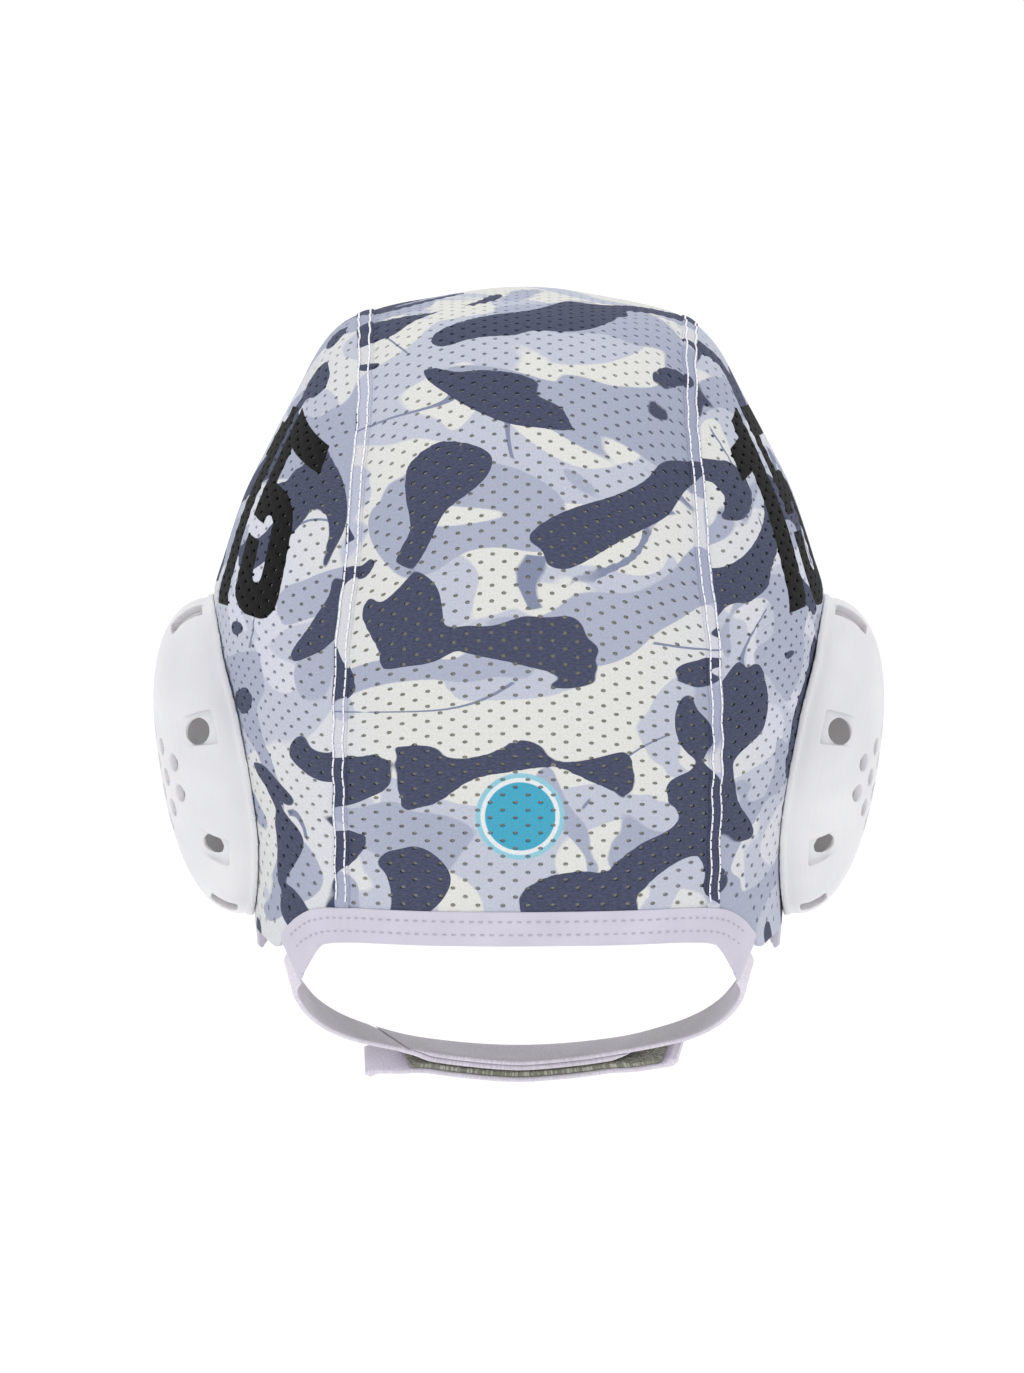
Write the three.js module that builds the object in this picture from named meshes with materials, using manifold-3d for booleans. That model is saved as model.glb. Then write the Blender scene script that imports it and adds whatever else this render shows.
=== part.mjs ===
// Water polo cap: three mesh cloth panels, ear guards, edge tapes and a chin strap.
// Millimetres, +Z up, +Y towards the face, +X to the wearer's right.
// The origin is the inside top of the crown, where the head's vertex sits.

import * as THREE from 'three';
import { mergeVertices } from 'three/addons/utils/BufferGeometryUtils.js';
import Module from 'manifold-3d';

const wasm = await Module();
wasm.setup();

// Sizes of the cloth form
const CAP_WIDTH = 169;
const BACK_REACH = 98;
const FRONT_REACH = 97.5;
const CAP_HEIGHT = 184;
const CLOTH = 1.3;
const SECTION_ROUNDNESS = 2.25;
const CORE_DEPTH = 96;

// Sizes of the centre panel and of the felled seams beside it
const PANEL_HALF = 50;
const PANEL_SHIFT = 2.4;
const SEAM_WIDTH = 4.4;
const SEAM_THICK = 1.9;

// Sizes of the edge tapes
const NAPE_TAPE = 8.8;
const CORNER_TAPE = 12.5;
const FACE_TAPE = 8;
const TAPE_THICK = 2.2;

// Sizes of the ear guards
const GUARD_TOP_DEPTH = 85;
const GUARD_HEIGHT = 90;
const GUARD_LENGTH = 74;
const GUARD_RISE = 21.4;
const GUARD_WALL = 2.2;
const GUARD_ROUNDNESS = 2.45;
const GUARD_CROWNING = 2.3;
const GUARD_TAPER = 0.07;
const GUARD_APEX_SHIFT = 5;
const LIP_HEIGHT = 2.2;
const LIP_STEP = 1.2;
const OPENING_INSET = 5;
const UNDER_GUARD = 28;
const SOUND_HOLE = 4.7;
const SOUND_PITCH = 8.6;
const SOUND_COLUMNS = [2, 3, 4, 3, 4, 3, 2];
const SOUND_SIDES = 6;
const SLOT_REACH = 12;
const SLOT_SIZE = 9;
const SOUND_DROP = 3;
const DOME_SHARES = [0, 0.05, 0.16, 0.34, 0.6];

// Sizes of the chin strap and its hook-and-loop closure
const STRAP_WIDTH = 15;
const STRAP_THICK = 1.4;
const STRAP_DROP = 36.8;
const STRAP_TUCK = 1.1;
const STRAP_START = 1;
const CHIN_REACH = 53;
const STRAP_TAPER_SHARE = 0.25;
const OVERLAP_LEFT = 43;
const OVERLAP_RIGHT = 45;
const FLAP_EXTRA = 4;
const FLAP_WIDTH = 16;
const HOOK_THICK = 0.8;
const HOOK_WIDTH = 13;
const TAB_LENGTH = 8;
const TAB_LIFT = 4.3;
const END_LIFT = 1.2;
const STEP_CLEAR = 1.5;
const STEP_LENGTH = 9;

// Clearance between neighbouring pieces
const GAP = 0.3;

// How finely each kind of piece is divided
const PANEL_ROWS = 30;
const PANEL_COLUMNS = 10;
const SIDE_RINGS = 6;
const GUARD_TURNS = 32;
const STRAP_STEPS = 34;
const SEAM_STEPS = 15;
const HEM_STEPS = 7;
const CLOSURE_STEPS = 18;
const SEARCH_STEPS = 36;
const PROBE = 0.05;
const SEAM_PROBE = 0.01;
const HEM_PROBE = 0.05;
const TURN_PROBE = 1;
const WELD = 1e-4;

const CORE = new THREE.Vector3(0, 0, CLOTH - CORE_DEPTH);

// Level sections of the form: depth is a share of CAP_HEIGHT, side a share of half of
// CAP_WIDTH, back and front shares of their reaches.
const SECTIONS = [
  { depth: 0.0, side: 0.0, back: 0.0, front: 0.0 },
  { depth: 0.015, side: 0.262, back: 0.27, front: 0.29 },
  { depth: 0.049, side: 0.556, back: 0.51, front: 0.55 },
  { depth: 0.087, side: 0.642, back: 0.635, front: 0.675 },
  { depth: 0.163, side: 0.735, back: 0.78, front: 0.815 },
  { depth: 0.239, side: 0.823, back: 0.868, front: 0.892 },
  { depth: 0.315, side: 0.905, back: 0.929, front: 0.944 },
  { depth: 0.402, side: 0.966, back: 0.974, front: 0.979 },
  { depth: 0.465, side: 1.0, back: 0.995, front: 0.995 },
  { depth: 0.533, side: 0.998, back: 1.0, front: 1.0 },
  { depth: 0.636, side: 0.96, back: 0.98, front: 0.995 },
  { depth: 0.734, side: 0.922, back: 0.939, front: 0.974 },
  { depth: 0.821, side: 0.893, back: 0.888, front: 0.944 },
  { depth: 0.908, side: 0.876, back: 0.837, front: 0.91 },
  { depth: 1.0, side: 0.864, back: 0.796, front: 0.87 },
];

// Half width of the centre panel as a share of PANEL_HALF, by the angle round the ear axis:
// 0 points back, 90 up to the crown and 180 to the forehead.
const SEAM_SPREAD = [
  { turn: -50, half: 1.005 },
  { turn: -20, half: 1.018 },
  { turn: 0, half: 1.0 },
  { turn: 17, half: 0.945 },
  { turn: 29, half: 0.925 },
  { turn: 50, half: 0.885 },
  { turn: 90, half: 0.9 },
  { turn: 135, half: 0.92 },
  { turn: 190, half: 0.94 },
];

// The cloth's lower edge on one side, from the nape round the ear to the forehead:
// azimuth in degrees from the nape, depth as a share of CAP_HEIGHT.
const HEM = [
  { azimuth: 0, depth: 0.9 },
  { azimuth: 15, depth: 0.9 },
  { azimuth: 30, depth: 0.9 },
  { azimuth: 42, depth: 0.9 },
  { azimuth: 48, depth: 0.908 },
  { azimuth: 53, depth: 0.926 },
  { azimuth: 58, depth: 0.953 },
  { azimuth: 63, depth: 0.973 },
  { azimuth: 71, depth: 0.972 },
  { azimuth: 86, depth: 0.963 },
  { azimuth: 100, depth: 0.959 },
  { azimuth: 108, depth: 0.939 },
  { azimuth: 113, depth: 0.895 },
  { azimuth: 117, depth: 0.83 },
  { azimuth: 121, depth: 0.755 },
  { azimuth: 127, depth: 0.672 },
  { azimuth: 136, depth: 0.602 },
  { azimuth: 148, depth: 0.556 },
  { azimuth: 163, depth: 0.53 },
  { azimuth: 180, depth: 0.52 },
];

// Rows of the hem table where the nape tape widens and ends, and where the face tape starts
const NAPE_TAPE_END = 6.5;
const NAPE_TAPE_FLARE = 4;
const FACE_TAPE_START = 9.6;

// How the side panel's outline is matched to the angle round the ear opening, which is 0 at
// the front and 90 at the top: by shares of the seam from the nape, then by rows of HEM.
const SEAM_STATIONS = [
  { share: 0.0, angle: 214 },
  { share: 0.45, angle: 122 },
  { share: 1.0, angle: 34 },
];
const HEM_STATIONS = [
  { row: 13.2, angle: -28 },
  { row: 9.5, angle: -84 },
  { row: 6.5, angle: -122 },
];

// Openings in one half of a guard's side wall: angle round the guard, height of the middle
// as a share of GUARD_RISE, and the opening's sizes as shares of SLOT_SIZE.
const WALL_SLOTS = [
  { angle: 70, rise: 0.36, width: 1.0, height: 0.78, corner: 0.22 },
  { angle: 14, rise: 0.36, width: 0.8, height: 0.8, corner: 0.39 },
  { angle: -34, rise: 0.34, width: 0.6, height: 0.62, corner: 0.24 },
  { angle: -70, rise: 0.36, width: 0.89, height: 0.67, corner: 0.22 },
];

// The chin strap's middle line from the nape corner to under the chin. out is a share of the
// corner's distance from the middle, along a share of the way forward and down a share of
// STRAP_DROP. The last three give the direction in which its outer face looks.
const STRAP_ROUTE = [
  { out: 1.03, along: 0.08, down: 0.11, nx: 0.93, ny: -0.36, nz: -0.1 },
  { out: 1.0, along: 0.19, down: 0.25, nx: 0.97, ny: -0.08, nz: -0.22 },
  { out: 0.95, along: 0.33, down: 0.4, nx: 0.9, ny: 0.04, nz: -0.43 },
  { out: 0.87, along: 0.48, down: 0.55, nx: 0.72, ny: 0.12, nz: -0.68 },
  { out: 0.75, along: 0.64, down: 0.69, nx: 0.5, ny: 0.17, nz: -0.85 },
  { out: 0.58, along: 0.8, down: 0.82, nx: 0.3, ny: 0.2, nz: -0.93 },
  { out: 0.36, along: 0.925, down: 0.93, nx: 0.12, ny: 0.21, nz: -0.97 },
  { out: 0.0, along: 1.0, down: 1.0, nx: 0.0, ny: 0.215, nz: -0.977 },
];

// Finishes
const FINISH = {
  cloth: { color: 0xc9cbd4, roughness: 0.85, metalness: 0 },
  seam: { color: 0xdcdce6, roughness: 0.85, metalness: 0 },
  tape: { color: 0xd9d5e2, roughness: 0.8, metalness: 0 },
  strap: { color: 0xc9c4cf, roughness: 0.8, metalness: 0 },
  hook: { color: 0x9a9a96, roughness: 0.95, metalness: 0 },
  guard: { color: 0xe8e8ea, roughness: 0.35, metalness: 0 },
};

// Curves through the short tables

function clamp(value, low, high) {
  return Math.min(high, Math.max(low, value));
}

function mix(from, to, share) {
  return from + (to - from) * share;
}

function ease(from, to, value) {
  const share = clamp((value - from) / (to - from), 0, 1);
  return share * share * (3 - 2 * share);
}

// A smooth curve through table rows that never overshoots them
function tableValue(rows, key, column, at) {
  const last = rows.length - 1;
  const place = clamp(at, rows[0][key], rows[last][key]);
  let i = 0;
  while (i < last - 1 && rows[i + 1][key] < place) {
    i += 1;
  }
  const slope = (k) => (rows[k + 1][column] - rows[k][column]) / (rows[k + 1][key] - rows[k][key]);
  const tangent = (k) => {
    if (k === 0 || k === last) {
      return slope(k === 0 ? 0 : last - 1);
    }
    const before = slope(k - 1);
    const after = slope(k);
    return before * after <= 0 ? 0 : (2 * before * after) / (before + after);
  };
  const span = rows[i + 1][key] - rows[i][key];
  const t = (place - rows[i][key]) / span;
  const start = rows[i][column];
  const end = rows[i + 1][column];
  const t2 = t * t;
  const t3 = t2 * t;
  return (2 * t3 - 3 * t2 + 1) * start + (t3 - 2 * t2 + t) * span * tangent(i)
    + (3 * t2 - 2 * t3) * end + (t3 - t2) * span * tangent(i + 1);
}

// The head form that the cloth lies on

const SQUARED_SECTIONS = SECTIONS.map((row) => ({
  depth: row.depth,
  side: row.side ** 2,
  back: row.back ** 2,
  front: row.front ** 2,
}));

function reachAt(depth, column, reach) {
  const share = tableValue(SQUARED_SECTIONS, 'depth', column, depth / CAP_HEIGHT);
  return reach * Math.sqrt(Math.max(share, 0));
}

// Below zero inside the form, above zero outside it
function formValue(point) {
  const depth = CLOTH - point.z;
  if (depth <= 0) {
    return 1;
  }
  const side = reachAt(depth, 'side', CAP_WIDTH / 2);
  const deep = point.y < 0 ? reachAt(depth, 'back', BACK_REACH) : reachAt(depth, 'front', FRONT_REACH);
  return (Math.abs(point.x) / side) ** SECTION_ROUNDNESS + (Math.abs(point.y) / deep) ** SECTION_ROUNDNESS - 1;
}

// The last point inside the form on a straight way out of it
function edgeOfForm(start, direction, reach) {
  let near = 0;
  let far = reach;
  const probe = new THREE.Vector3();
  for (let i = 0; i < SEARCH_STEPS; i += 1) {
    const middle = (near + far) / 2;
    probe.copy(start).addScaledVector(direction, middle);
    if (formValue(probe) < 0) {
      near = middle;
    } else {
      far = middle;
    }
  }
  return start.clone().addScaledVector(direction, (near + far) / 2);
}

function ontoForm(point) {
  const direction = point.clone().sub(CORE).normalize();
  return edgeOfForm(CORE, direction, CAP_HEIGHT + CAP_WIDTH);
}

function formNormal(point) {
  const slope = (axis) => {
    const ahead = point.clone();
    const behind = point.clone();
    ahead[axis] += PROBE;
    behind[axis] -= PROBE;
    return formValue(ahead) - formValue(behind);
  };
  return new THREE.Vector3(slope('x'), slope('y'), slope('z')).normalize();
}

// The point at a given distance from the middle plane, at an angle round the ear axis
function meridianPoint(x, turn) {
  const angle = THREE.MathUtils.degToRad(turn);
  const start = new THREE.Vector3(x, 0, CORE.z);
  const direction = new THREE.Vector3(0, -Math.cos(angle), Math.sin(angle));
  return edgeOfForm(start, direction, CAP_HEIGHT + CAP_WIDTH);
}

function levelPoint(azimuth, depth) {
  const angle = THREE.MathUtils.degToRad(azimuth);
  const start = new THREE.Vector3(0, 0, CLOTH - depth);
  const direction = new THREE.Vector3(Math.sin(angle), -Math.cos(angle), 0);
  return edgeOfForm(start, direction, CAP_HEIGHT + CAP_WIDTH);
}

// The hem, and the seams that run from it over the crown

const HEM_ROWS = HEM.map((row, index) => ({ ...row, index }));
const HEM_LAST = HEM.length - 1;

function hemPoint(row, side) {
  const azimuth = tableValue(HEM_ROWS, 'index', 'azimuth', row);
  const depth = tableValue(HEM_ROWS, 'index', 'depth', row) * CAP_HEIGHT;
  return levelPoint(azimuth * side, depth);
}

// The row of the hem table at an azimuth, on either side
function hemRowAt(azimuth) {
  let low = 0;
  let high = HEM_LAST;
  for (let i = 0; i < SEARCH_STEPS; i += 1) {
    const middle = (low + high) / 2;
    if (tableValue(HEM_ROWS, 'index', 'azimuth', middle) < Math.abs(azimuth)) {
      low = middle;
    } else {
      high = middle;
    }
  }
  return (low + high) / 2;
}

function hemDepthAt(azimuth) {
  return tableValue(HEM_ROWS, 'index', 'depth', hemRowAt(azimuth)) * CAP_HEIGHT;
}

function ontoHem(point) {
  const azimuth = azimuthOf(point);
  return levelPoint(azimuth, hemDepthAt(azimuth));
}

function azimuthOf(point) {
  return THREE.MathUtils.radToDeg(Math.atan2(point.x, -point.y));
}

function strandX(across, turn) {
  const half = PANEL_HALF * tableValue(SEAM_SPREAD, 'turn', 'half', turn);
  return PANEL_SHIFT + across * half;
}

// The angle at which a strand of the centre panel meets the hem
function strandEnd(across, low, high) {
  const above = (turn) => {
    const point = meridianPoint(strandX(across, turn), turn);
    return CLOTH - point.z < hemDepthAt(azimuthOf(point));
  };
  const lowIsAbove = above(low);
  let near = low;
  let far = high;
  for (let i = 0; i < SEARCH_STEPS; i += 1) {
    const middle = (near + far) / 2;
    if (above(middle) === lowIsAbove) {
      near = middle;
    } else {
      far = middle;
    }
  }
  return (near + far) / 2;
}

// Angles round the ear axis above and below the hem, at the nape and at the forehead
const NAPE_TURNS = { above: 60, below: -70 };
const FACE_TURNS = { above: 120, below: 210 };
const STRAND_ENDS = new Map();

function strandEnds(across) {
  const key = across.toFixed(5);
  if (!STRAND_ENDS.has(key)) {
    STRAND_ENDS.set(key, {
      nape: strandEnd(across, NAPE_TURNS.above, NAPE_TURNS.below),
      face: strandEnd(across, FACE_TURNS.above, FACE_TURNS.below),
    });
  }
  return STRAND_ENDS.get(key);
}

// Across runs from -1 at the left seam to 1 at the right one, share from the nape to the face
function strandPoint(across, share) {
  const ends = strandEnds(across);
  const turn = mix(ends.nape, ends.face, share);
  return meridianPoint(strandX(across, turn), turn);
}

// A point beside a seam, at a distance along the cloth, away from the centre panel
function besideSeam(side, share, distance) {
  const point = strandPoint(side, share);
  const ahead = strandPoint(side, Math.min(share + SEAM_PROBE, 1));
  const behind = strandPoint(side, Math.max(share - SEAM_PROBE, 0));
  const across = ahead.sub(behind).cross(formNormal(point)).normalize();
  if (across.x * side < 0) {
    across.negate();
  }
  const beside = ontoForm(point.addScaledVector(across, distance));
  return share === 0 || share === 1 ? ontoHem(beside) : beside;
}

// Closed bodies

function outwardGeometry(points, index) {
  let volume = 0;
  const cross = new THREE.Vector3();
  for (let i = 0; i < index.length; i += 3) {
    cross.crossVectors(points[index[i + 1]], points[index[i + 2]]);
    volume += points[index[i]].dot(cross);
  }
  const faces = volume < 0 ? index.slice().reverse() : index;
  const geometry = new THREE.BufferGeometry().setFromPoints(points);
  geometry.setIndex(faces);
  geometry.computeVertexNormals();
  return geometry;
}

function quad(index, a, b, c, d) {
  index.push(a, b, c, a, c, d);
}

// A wall of cloth or tape between two distances from the form, on a lattice of form points.
// A lattice that runs all round, such as the one about an ear, closes on itself.
function wallGeometry(lattice, outer, inner, allRound = false) {
  const points = [];
  const layer = (distance) => lattice.map((row) => row.map((point) => {
    points.push(point.clone().addScaledVector(formNormal(point), distance));
    return points.length - 1;
  }));
  const top = layer(outer);
  const under = layer(inner);
  const rows = lattice.length - 1;
  const count = lattice[0].length;
  const index = [];
  for (let j = 0; j < (allRound ? count : count - 1); j += 1) {
    const k = (j + 1) % count;
    for (let i = 0; i < rows; i += 1) {
      quad(index, top[i][j], top[i][k], top[i + 1][k], top[i + 1][j]);
      quad(index, under[i][j], under[i + 1][j], under[i + 1][k], under[i][k]);
    }
    quad(index, top[0][j], under[0][j], under[0][k], top[0][k]);
    quad(index, top[rows][j], top[rows][k], under[rows][k], under[rows][j]);
  }
  if (!allRound) {
    const end = count - 1;
    for (let i = 0; i < rows; i += 1) {
      quad(index, top[i][0], top[i + 1][0], under[i + 1][0], under[i][0]);
      quad(index, top[i][end], under[i][end], under[i + 1][end], top[i + 1][end]);
    }
  }
  return outwardGeometry(points, index);
}

// A solid through sections of equal count, closed by a flat face at each end
function sectionsGeometry(sections) {
  const count = sections[0].length;
  const points = sections.flat();
  const index = [];
  const last = sections.length - 1;
  for (let i = 0; i < last; i += 1) {
    for (let j = 0; j < count; j += 1) {
      const k = (j + 1) % count;
      const row = i * count;
      quad(index, row + j, row + k, row + count + k, row + count + j);
    }
  }
  for (let j = 1; j < count - 1; j += 1) {
    const end = last * count;
    index.push(0, j + 1, j);
    index.push(end, end + j, end + j + 1);
  }
  return outwardGeometry(points, index);
}

function grid(rows, columns, pointAt) {
  return Array.from({ length: rows + 1 }, (_, i) => (
    Array.from({ length: columns + 1 }, (__, j) => pointAt(i / rows, j / columns))
  ));
}

// Cloth panels and felled seams

const SEAM_CLEAR = SEAM_WIDTH / 2 + GAP;

function centreRows() {
  return grid(PANEL_ROWS, PANEL_COLUMNS, (share, column) => {
    const across = column * 2 - 1;
    const side = across < 0 ? -1 : 1;
    const trim = besideSeam(side, share, -SEAM_CLEAR).sub(strandPoint(side, share));
    const point = ontoForm(strandPoint(across, share).addScaledVector(trim, Math.abs(across)));
    return share === 0 || share === 1 ? ontoHem(point) : point;
  });
}

function seamRows(side) {
  return grid(PANEL_ROWS, 2, (share, column) => besideSeam(side, share, (column - 0.5) * SEAM_WIDTH));
}

function centrePanel() {
  return wallGeometry(centreRows(), 0, -CLOTH);
}

function seamBand(side) {
  const proud = (SEAM_THICK - CLOTH) / 2;
  return wallGeometry(seamRows(side), proud, -CLOTH - proud);
}

// The side panel's outline in step with angles round the ear: up the seam from the nape to
// the forehead, then back along the hem
function sideOutline(side) {
  const stations = [];
  SEAM_STATIONS.slice(0, -1).forEach((station, i) => {
    const next = SEAM_STATIONS[i + 1];
    for (let k = 0; k < SEAM_STEPS; k += 1) {
      const share = mix(station.share, next.share, k / SEAM_STEPS);
      const angle = mix(station.angle, next.angle, k / SEAM_STEPS);
      stations.push({ point: besideSeam(side, share, SEAM_CLEAR), angle, onHem: share === 0 });
    }
  });
  const napeCorner = stations[0];
  const faceStation = SEAM_STATIONS[SEAM_STATIONS.length - 1];
  const faceCorner = besideSeam(side, faceStation.share, SEAM_CLEAR);
  const rows = [
    { row: hemRowAt(azimuthOf(faceCorner)), angle: faceStation.angle },
    ...HEM_STATIONS,
    { row: hemRowAt(azimuthOf(napeCorner.point)), angle: napeCorner.angle - 360 },
  ];
  rows.slice(0, -1).forEach((station, i) => {
    for (let k = 0; k < HEM_STEPS; k += 1) {
      const row = mix(station.row, rows[i + 1].row, k / HEM_STEPS);
      const angle = mix(station.angle, rows[i + 1].angle, k / HEM_STEPS);
      const point = i + k === 0 ? faceCorner : hemPoint(row, side);
      stations.push({ point, angle, onHem: true });
    }
  });
  return stations;
}

function sidePanel(side) {
  const outline = sideOutline(side).map(({ point, angle }) => ({
    far: point,
    near: openingEdge(angle, side),
  }));
  const cloth = Array.from({ length: SIDE_RINGS + 1 }, (_, i) => (
    outline.map(({ near, far }) => ontoForm(near.clone().lerp(far, i / SIDE_RINGS)))
  ));
  return wallGeometry(cloth, 0, -CLOTH, true);
}

// Ear guards, worked out in their own frame: X outwards from the head, Y forward, Z up the rim

const RIM_TOP = levelPoint(90, GUARD_TOP_DEPTH);
const RIM_BOTTOM = levelPoint(90, GUARD_TOP_DEPTH + GUARD_HEIGHT);
const RIM_MIDDLE = RIM_TOP.clone().add(RIM_BOTTOM).multiplyScalar(0.5);
const GUARD_TILT = Math.atan2(RIM_TOP.x - RIM_BOTTOM.x, RIM_TOP.z - RIM_BOTTOM.z);

function guardPlace(side) {
  const place = new THREE.Matrix4().makeRotationY(GUARD_TILT * side);
  return place.setPosition(RIM_MIDDLE.x * side, 0, RIM_MIDDLE.z);
}

// The guard's outline: a rounded upright shape, narrower at the bottom
function guardOutline(angle, inset) {
  const turn = THREE.MathUtils.degToRad(angle);
  const cos = Math.cos(turn);
  const sin = Math.sin(turn);
  const reach = (Math.abs(cos) ** GUARD_ROUNDNESS + Math.abs(sin) ** GUARD_ROUNDNESS) ** (-1 / GUARD_ROUNDNESS);
  const up = reach * sin * (GUARD_HEIGHT / 2 - inset);
  const taper = 1 + GUARD_TAPER * reach * sin;
  const forward = reach * cos * (GUARD_LENGTH / 2 - inset) * taper;
  return { forward, up };
}

// How far out of the rim plane the cloth lies under a place of the guard
function clothRise(forward, up) {
  const place = guardPlace(1);
  const start = new THREE.Vector3(-UNDER_GUARD, forward, up).applyMatrix4(place);
  const outward = new THREE.Vector3(1, 0, 0).transformDirection(place);
  const onCloth = edgeOfForm(start, outward, CAP_WIDTH);
  return onCloth.applyMatrix4(place.invert()).x;
}

function openingEdge(angle, side) {
  const { forward, up } = guardOutline(angle, OPENING_INSET);
  const edge = new THREE.Vector3(clothRise(forward, up), forward, up).applyMatrix4(guardPlace(1));
  edge.x *= side;
  return edge;
}

// Rings of the domed shell from its rim inwards, and the point in its middle
function domeRings(inset, rise) {
  const rings = DOME_SHARES.map((share) => (
    Array.from({ length: GUARD_TURNS }, (_, i) => {
      const angle = (i / GUARD_TURNS) * 360;
      const { forward, up } = guardOutline(angle, inset);
      const rim = guardOutline(angle, 0);
      const base = clothRise(rim.forward, rim.up) + GAP + LIP_HEIGHT;
      const crowned = (1 - (1 - share) ** GUARD_CROWNING) ** (1 / GUARD_CROWNING);
      return new THREE.Vector3(
        base * (1 - share) ** 2 + (rise - LIP_HEIGHT) * crowned + LIP_HEIGHT * (1 - (1 - share) ** 2),
        forward * (1 - share),
        mix(up, GUARD_APEX_SHIFT, share),
      );
    })
  ));
  return { rings, pole: new THREE.Vector3(rise, 0, GUARD_APEX_SHIFT) };
}

function rimRing(inset, height) {
  return Array.from({ length: GUARD_TURNS }, (_, i) => {
    const { forward, up } = guardOutline((i / GUARD_TURNS) * 360, inset);
    return new THREE.Vector3(clothRise(forward, up) + GAP + height, forward, up);
  });
}

function guardShell() {
  const outside = domeRings(LIP_STEP, GUARD_RISE);
  const inside = domeRings(LIP_STEP + GUARD_WALL, GUARD_RISE - GUARD_WALL);
  const rings = [
    ...inside.rings.slice(1).reverse(),
    inside.rings[0],
    rimRing(LIP_STEP + GUARD_WALL, 0),
    rimRing(0, 0),
    rimRing(0, LIP_HEIGHT),
    outside.rings[0],
    ...outside.rings.slice(1),
  ];
  const points = [...rings.flat(), inside.pole, outside.pole];
  const index = [];
  for (let i = 0; i < rings.length - 1; i += 1) {
    for (let j = 0; j < GUARD_TURNS; j += 1) {
      const k = (j + 1) % GUARD_TURNS;
      const row = i * GUARD_TURNS;
      quad(index, row + j, row + k, row + GUARD_TURNS + k, row + GUARD_TURNS + j);
    }
  }
  const lastRow = (rings.length - 1) * GUARD_TURNS;
  for (let j = 0; j < GUARD_TURNS; j += 1) {
    const k = (j + 1) % GUARD_TURNS;
    index.push(points.length - 2, k, j);
    index.push(points.length - 1, lastRow + j, lastRow + k);
  }
  return outwardGeometry(points, index);
}

// Sound holes in upright columns, each half a pitch off its neighbours
function soundHoles() {
  const holes = [];
  SOUND_COLUMNS.forEach((count, column) => {
    const along = (column - (SOUND_COLUMNS.length - 1) / 2) * SOUND_PITCH * Math.sin(Math.PI / 3);
    for (let i = 0; i < count; i += 1) {
      const up = (i - (count - 1) / 2) * SOUND_PITCH - SOUND_DROP;
      const drill = new THREE.CylinderGeometry(SOUND_HOLE / 2, SOUND_HOLE / 2, GUARD_RISE, SOUND_SIDES);
      drill.rotateZ(Math.PI / 2);
      drill.translate(GUARD_RISE, up, along);
      holes.push(drill);
    }
  });
  return holes;
}

function roundedRectangle(width, height, corner) {
  const shape = new THREE.Shape();
  const x = width / 2;
  const y = height / 2;
  shape.moveTo(-x + corner, -y);
  shape.lineTo(x - corner, -y);
  shape.quadraticCurveTo(x, -y, x, -y + corner);
  shape.lineTo(x, y - corner);
  shape.quadraticCurveTo(x, y, x - corner, y);
  shape.lineTo(-x + corner, y);
  shape.quadraticCurveTo(-x, y, -x, y - corner);
  shape.lineTo(-x, -y + corner);
  shape.quadraticCurveTo(-x, -y, -x + corner, -y);
  return shape;
}

// Openings through the side wall, the same ahead of and behind the ear
function wallSlots() {
  const slots = [];
  WALL_SLOTS.forEach(({ angle, rise, width, height, corner }) => {
    [angle, 180 - angle].forEach((place) => {
      const { forward, up } = guardOutline(place, LIP_STEP + GUARD_WALL / 2);
      const ahead = guardOutline(place + TURN_PROBE, 0);
      const behind = guardOutline(place - TURN_PROBE, 0);
      const facing = Math.atan2(behind.forward - ahead.forward, ahead.up - behind.up);
      const shape = roundedRectangle(height * SLOT_SIZE, width * SLOT_SIZE, corner * SLOT_SIZE);
      const slot = new THREE.ExtrudeGeometry(shape, { depth: SLOT_REACH, bevelEnabled: false, curveSegments: 1 });
      slot.translate(0, 0, -SLOT_REACH / 2);
      const outward = new THREE.Vector3(0, Math.cos(facing), Math.sin(facing));
      const out = new THREE.Vector3(1, 0, 0);
      const basis = new THREE.Matrix4().makeBasis(out, outward.clone().cross(out), outward);
      slot.applyMatrix4(basis);
      slot.translate(GUARD_RISE * rise, forward, up);
      slots.push(slot);
    });
  });
  return slots;
}

// Joining and cutting

function toSolid(geometry) {
  const bare = geometry.clone();
  bare.deleteAttribute('normal');
  bare.deleteAttribute('uv');
  const merged = mergeVertices(bare, WELD);
  return new wasm.Manifold(new wasm.Mesh({
    numProp: 3,
    vertProperties: new Float32Array(merged.attributes.position.array),
    triVerts: new Uint32Array(merged.index.array),
  }));
}

function fromSolid(solid) {
  const mesh = solid.getMesh();
  const geometry = new THREE.BufferGeometry();
  geometry.setAttribute('position', new THREE.BufferAttribute(mesh.vertProperties, 3));
  geometry.setIndex(new THREE.BufferAttribute(mesh.triVerts, 1));
  geometry.computeVertexNormals();
  return geometry;
}

function guardGeometry() {
  let solid = toSolid(guardShell());
  [...soundHoles(), ...wallSlots()].forEach((cutter) => {
    solid = solid.subtract(toSolid(cutter));
  });
  return fromSolid(solid);
}

function mirrored(geometry) {
  const copy = geometry.clone();
  copy.scale(-1, 1, 1);
  copy.setIndex(Array.from(copy.index.array).reverse());
  copy.computeVertexNormals();
  return copy;
}

// Edge tapes

// A place round the whole hem: 0 at the nape, HEM_LAST at the forehead by the right side
function hemPlace(place) {
  const wrapped = place > HEM_LAST ? place - 2 * HEM_LAST : place;
  return hemPoint(Math.abs(wrapped), wrapped < 0 ? -1 : 1);
}

// The point off the hem by a distance, away from the cloth
function offHem(place, distance) {
  const point = hemPlace(place);
  const along = hemPlace(place + HEM_PROBE).sub(hemPlace(place - HEM_PROBE));
  const away = along.cross(formNormal(point)).normalize();
  return ontoForm(point.addScaledVector(away, distance));
}

function napeTapeWidth(place) {
  return mix(NAPE_TAPE, CORNER_TAPE, ease(NAPE_TAPE_FLARE, NAPE_TAPE_END, Math.abs(place)));
}

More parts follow.
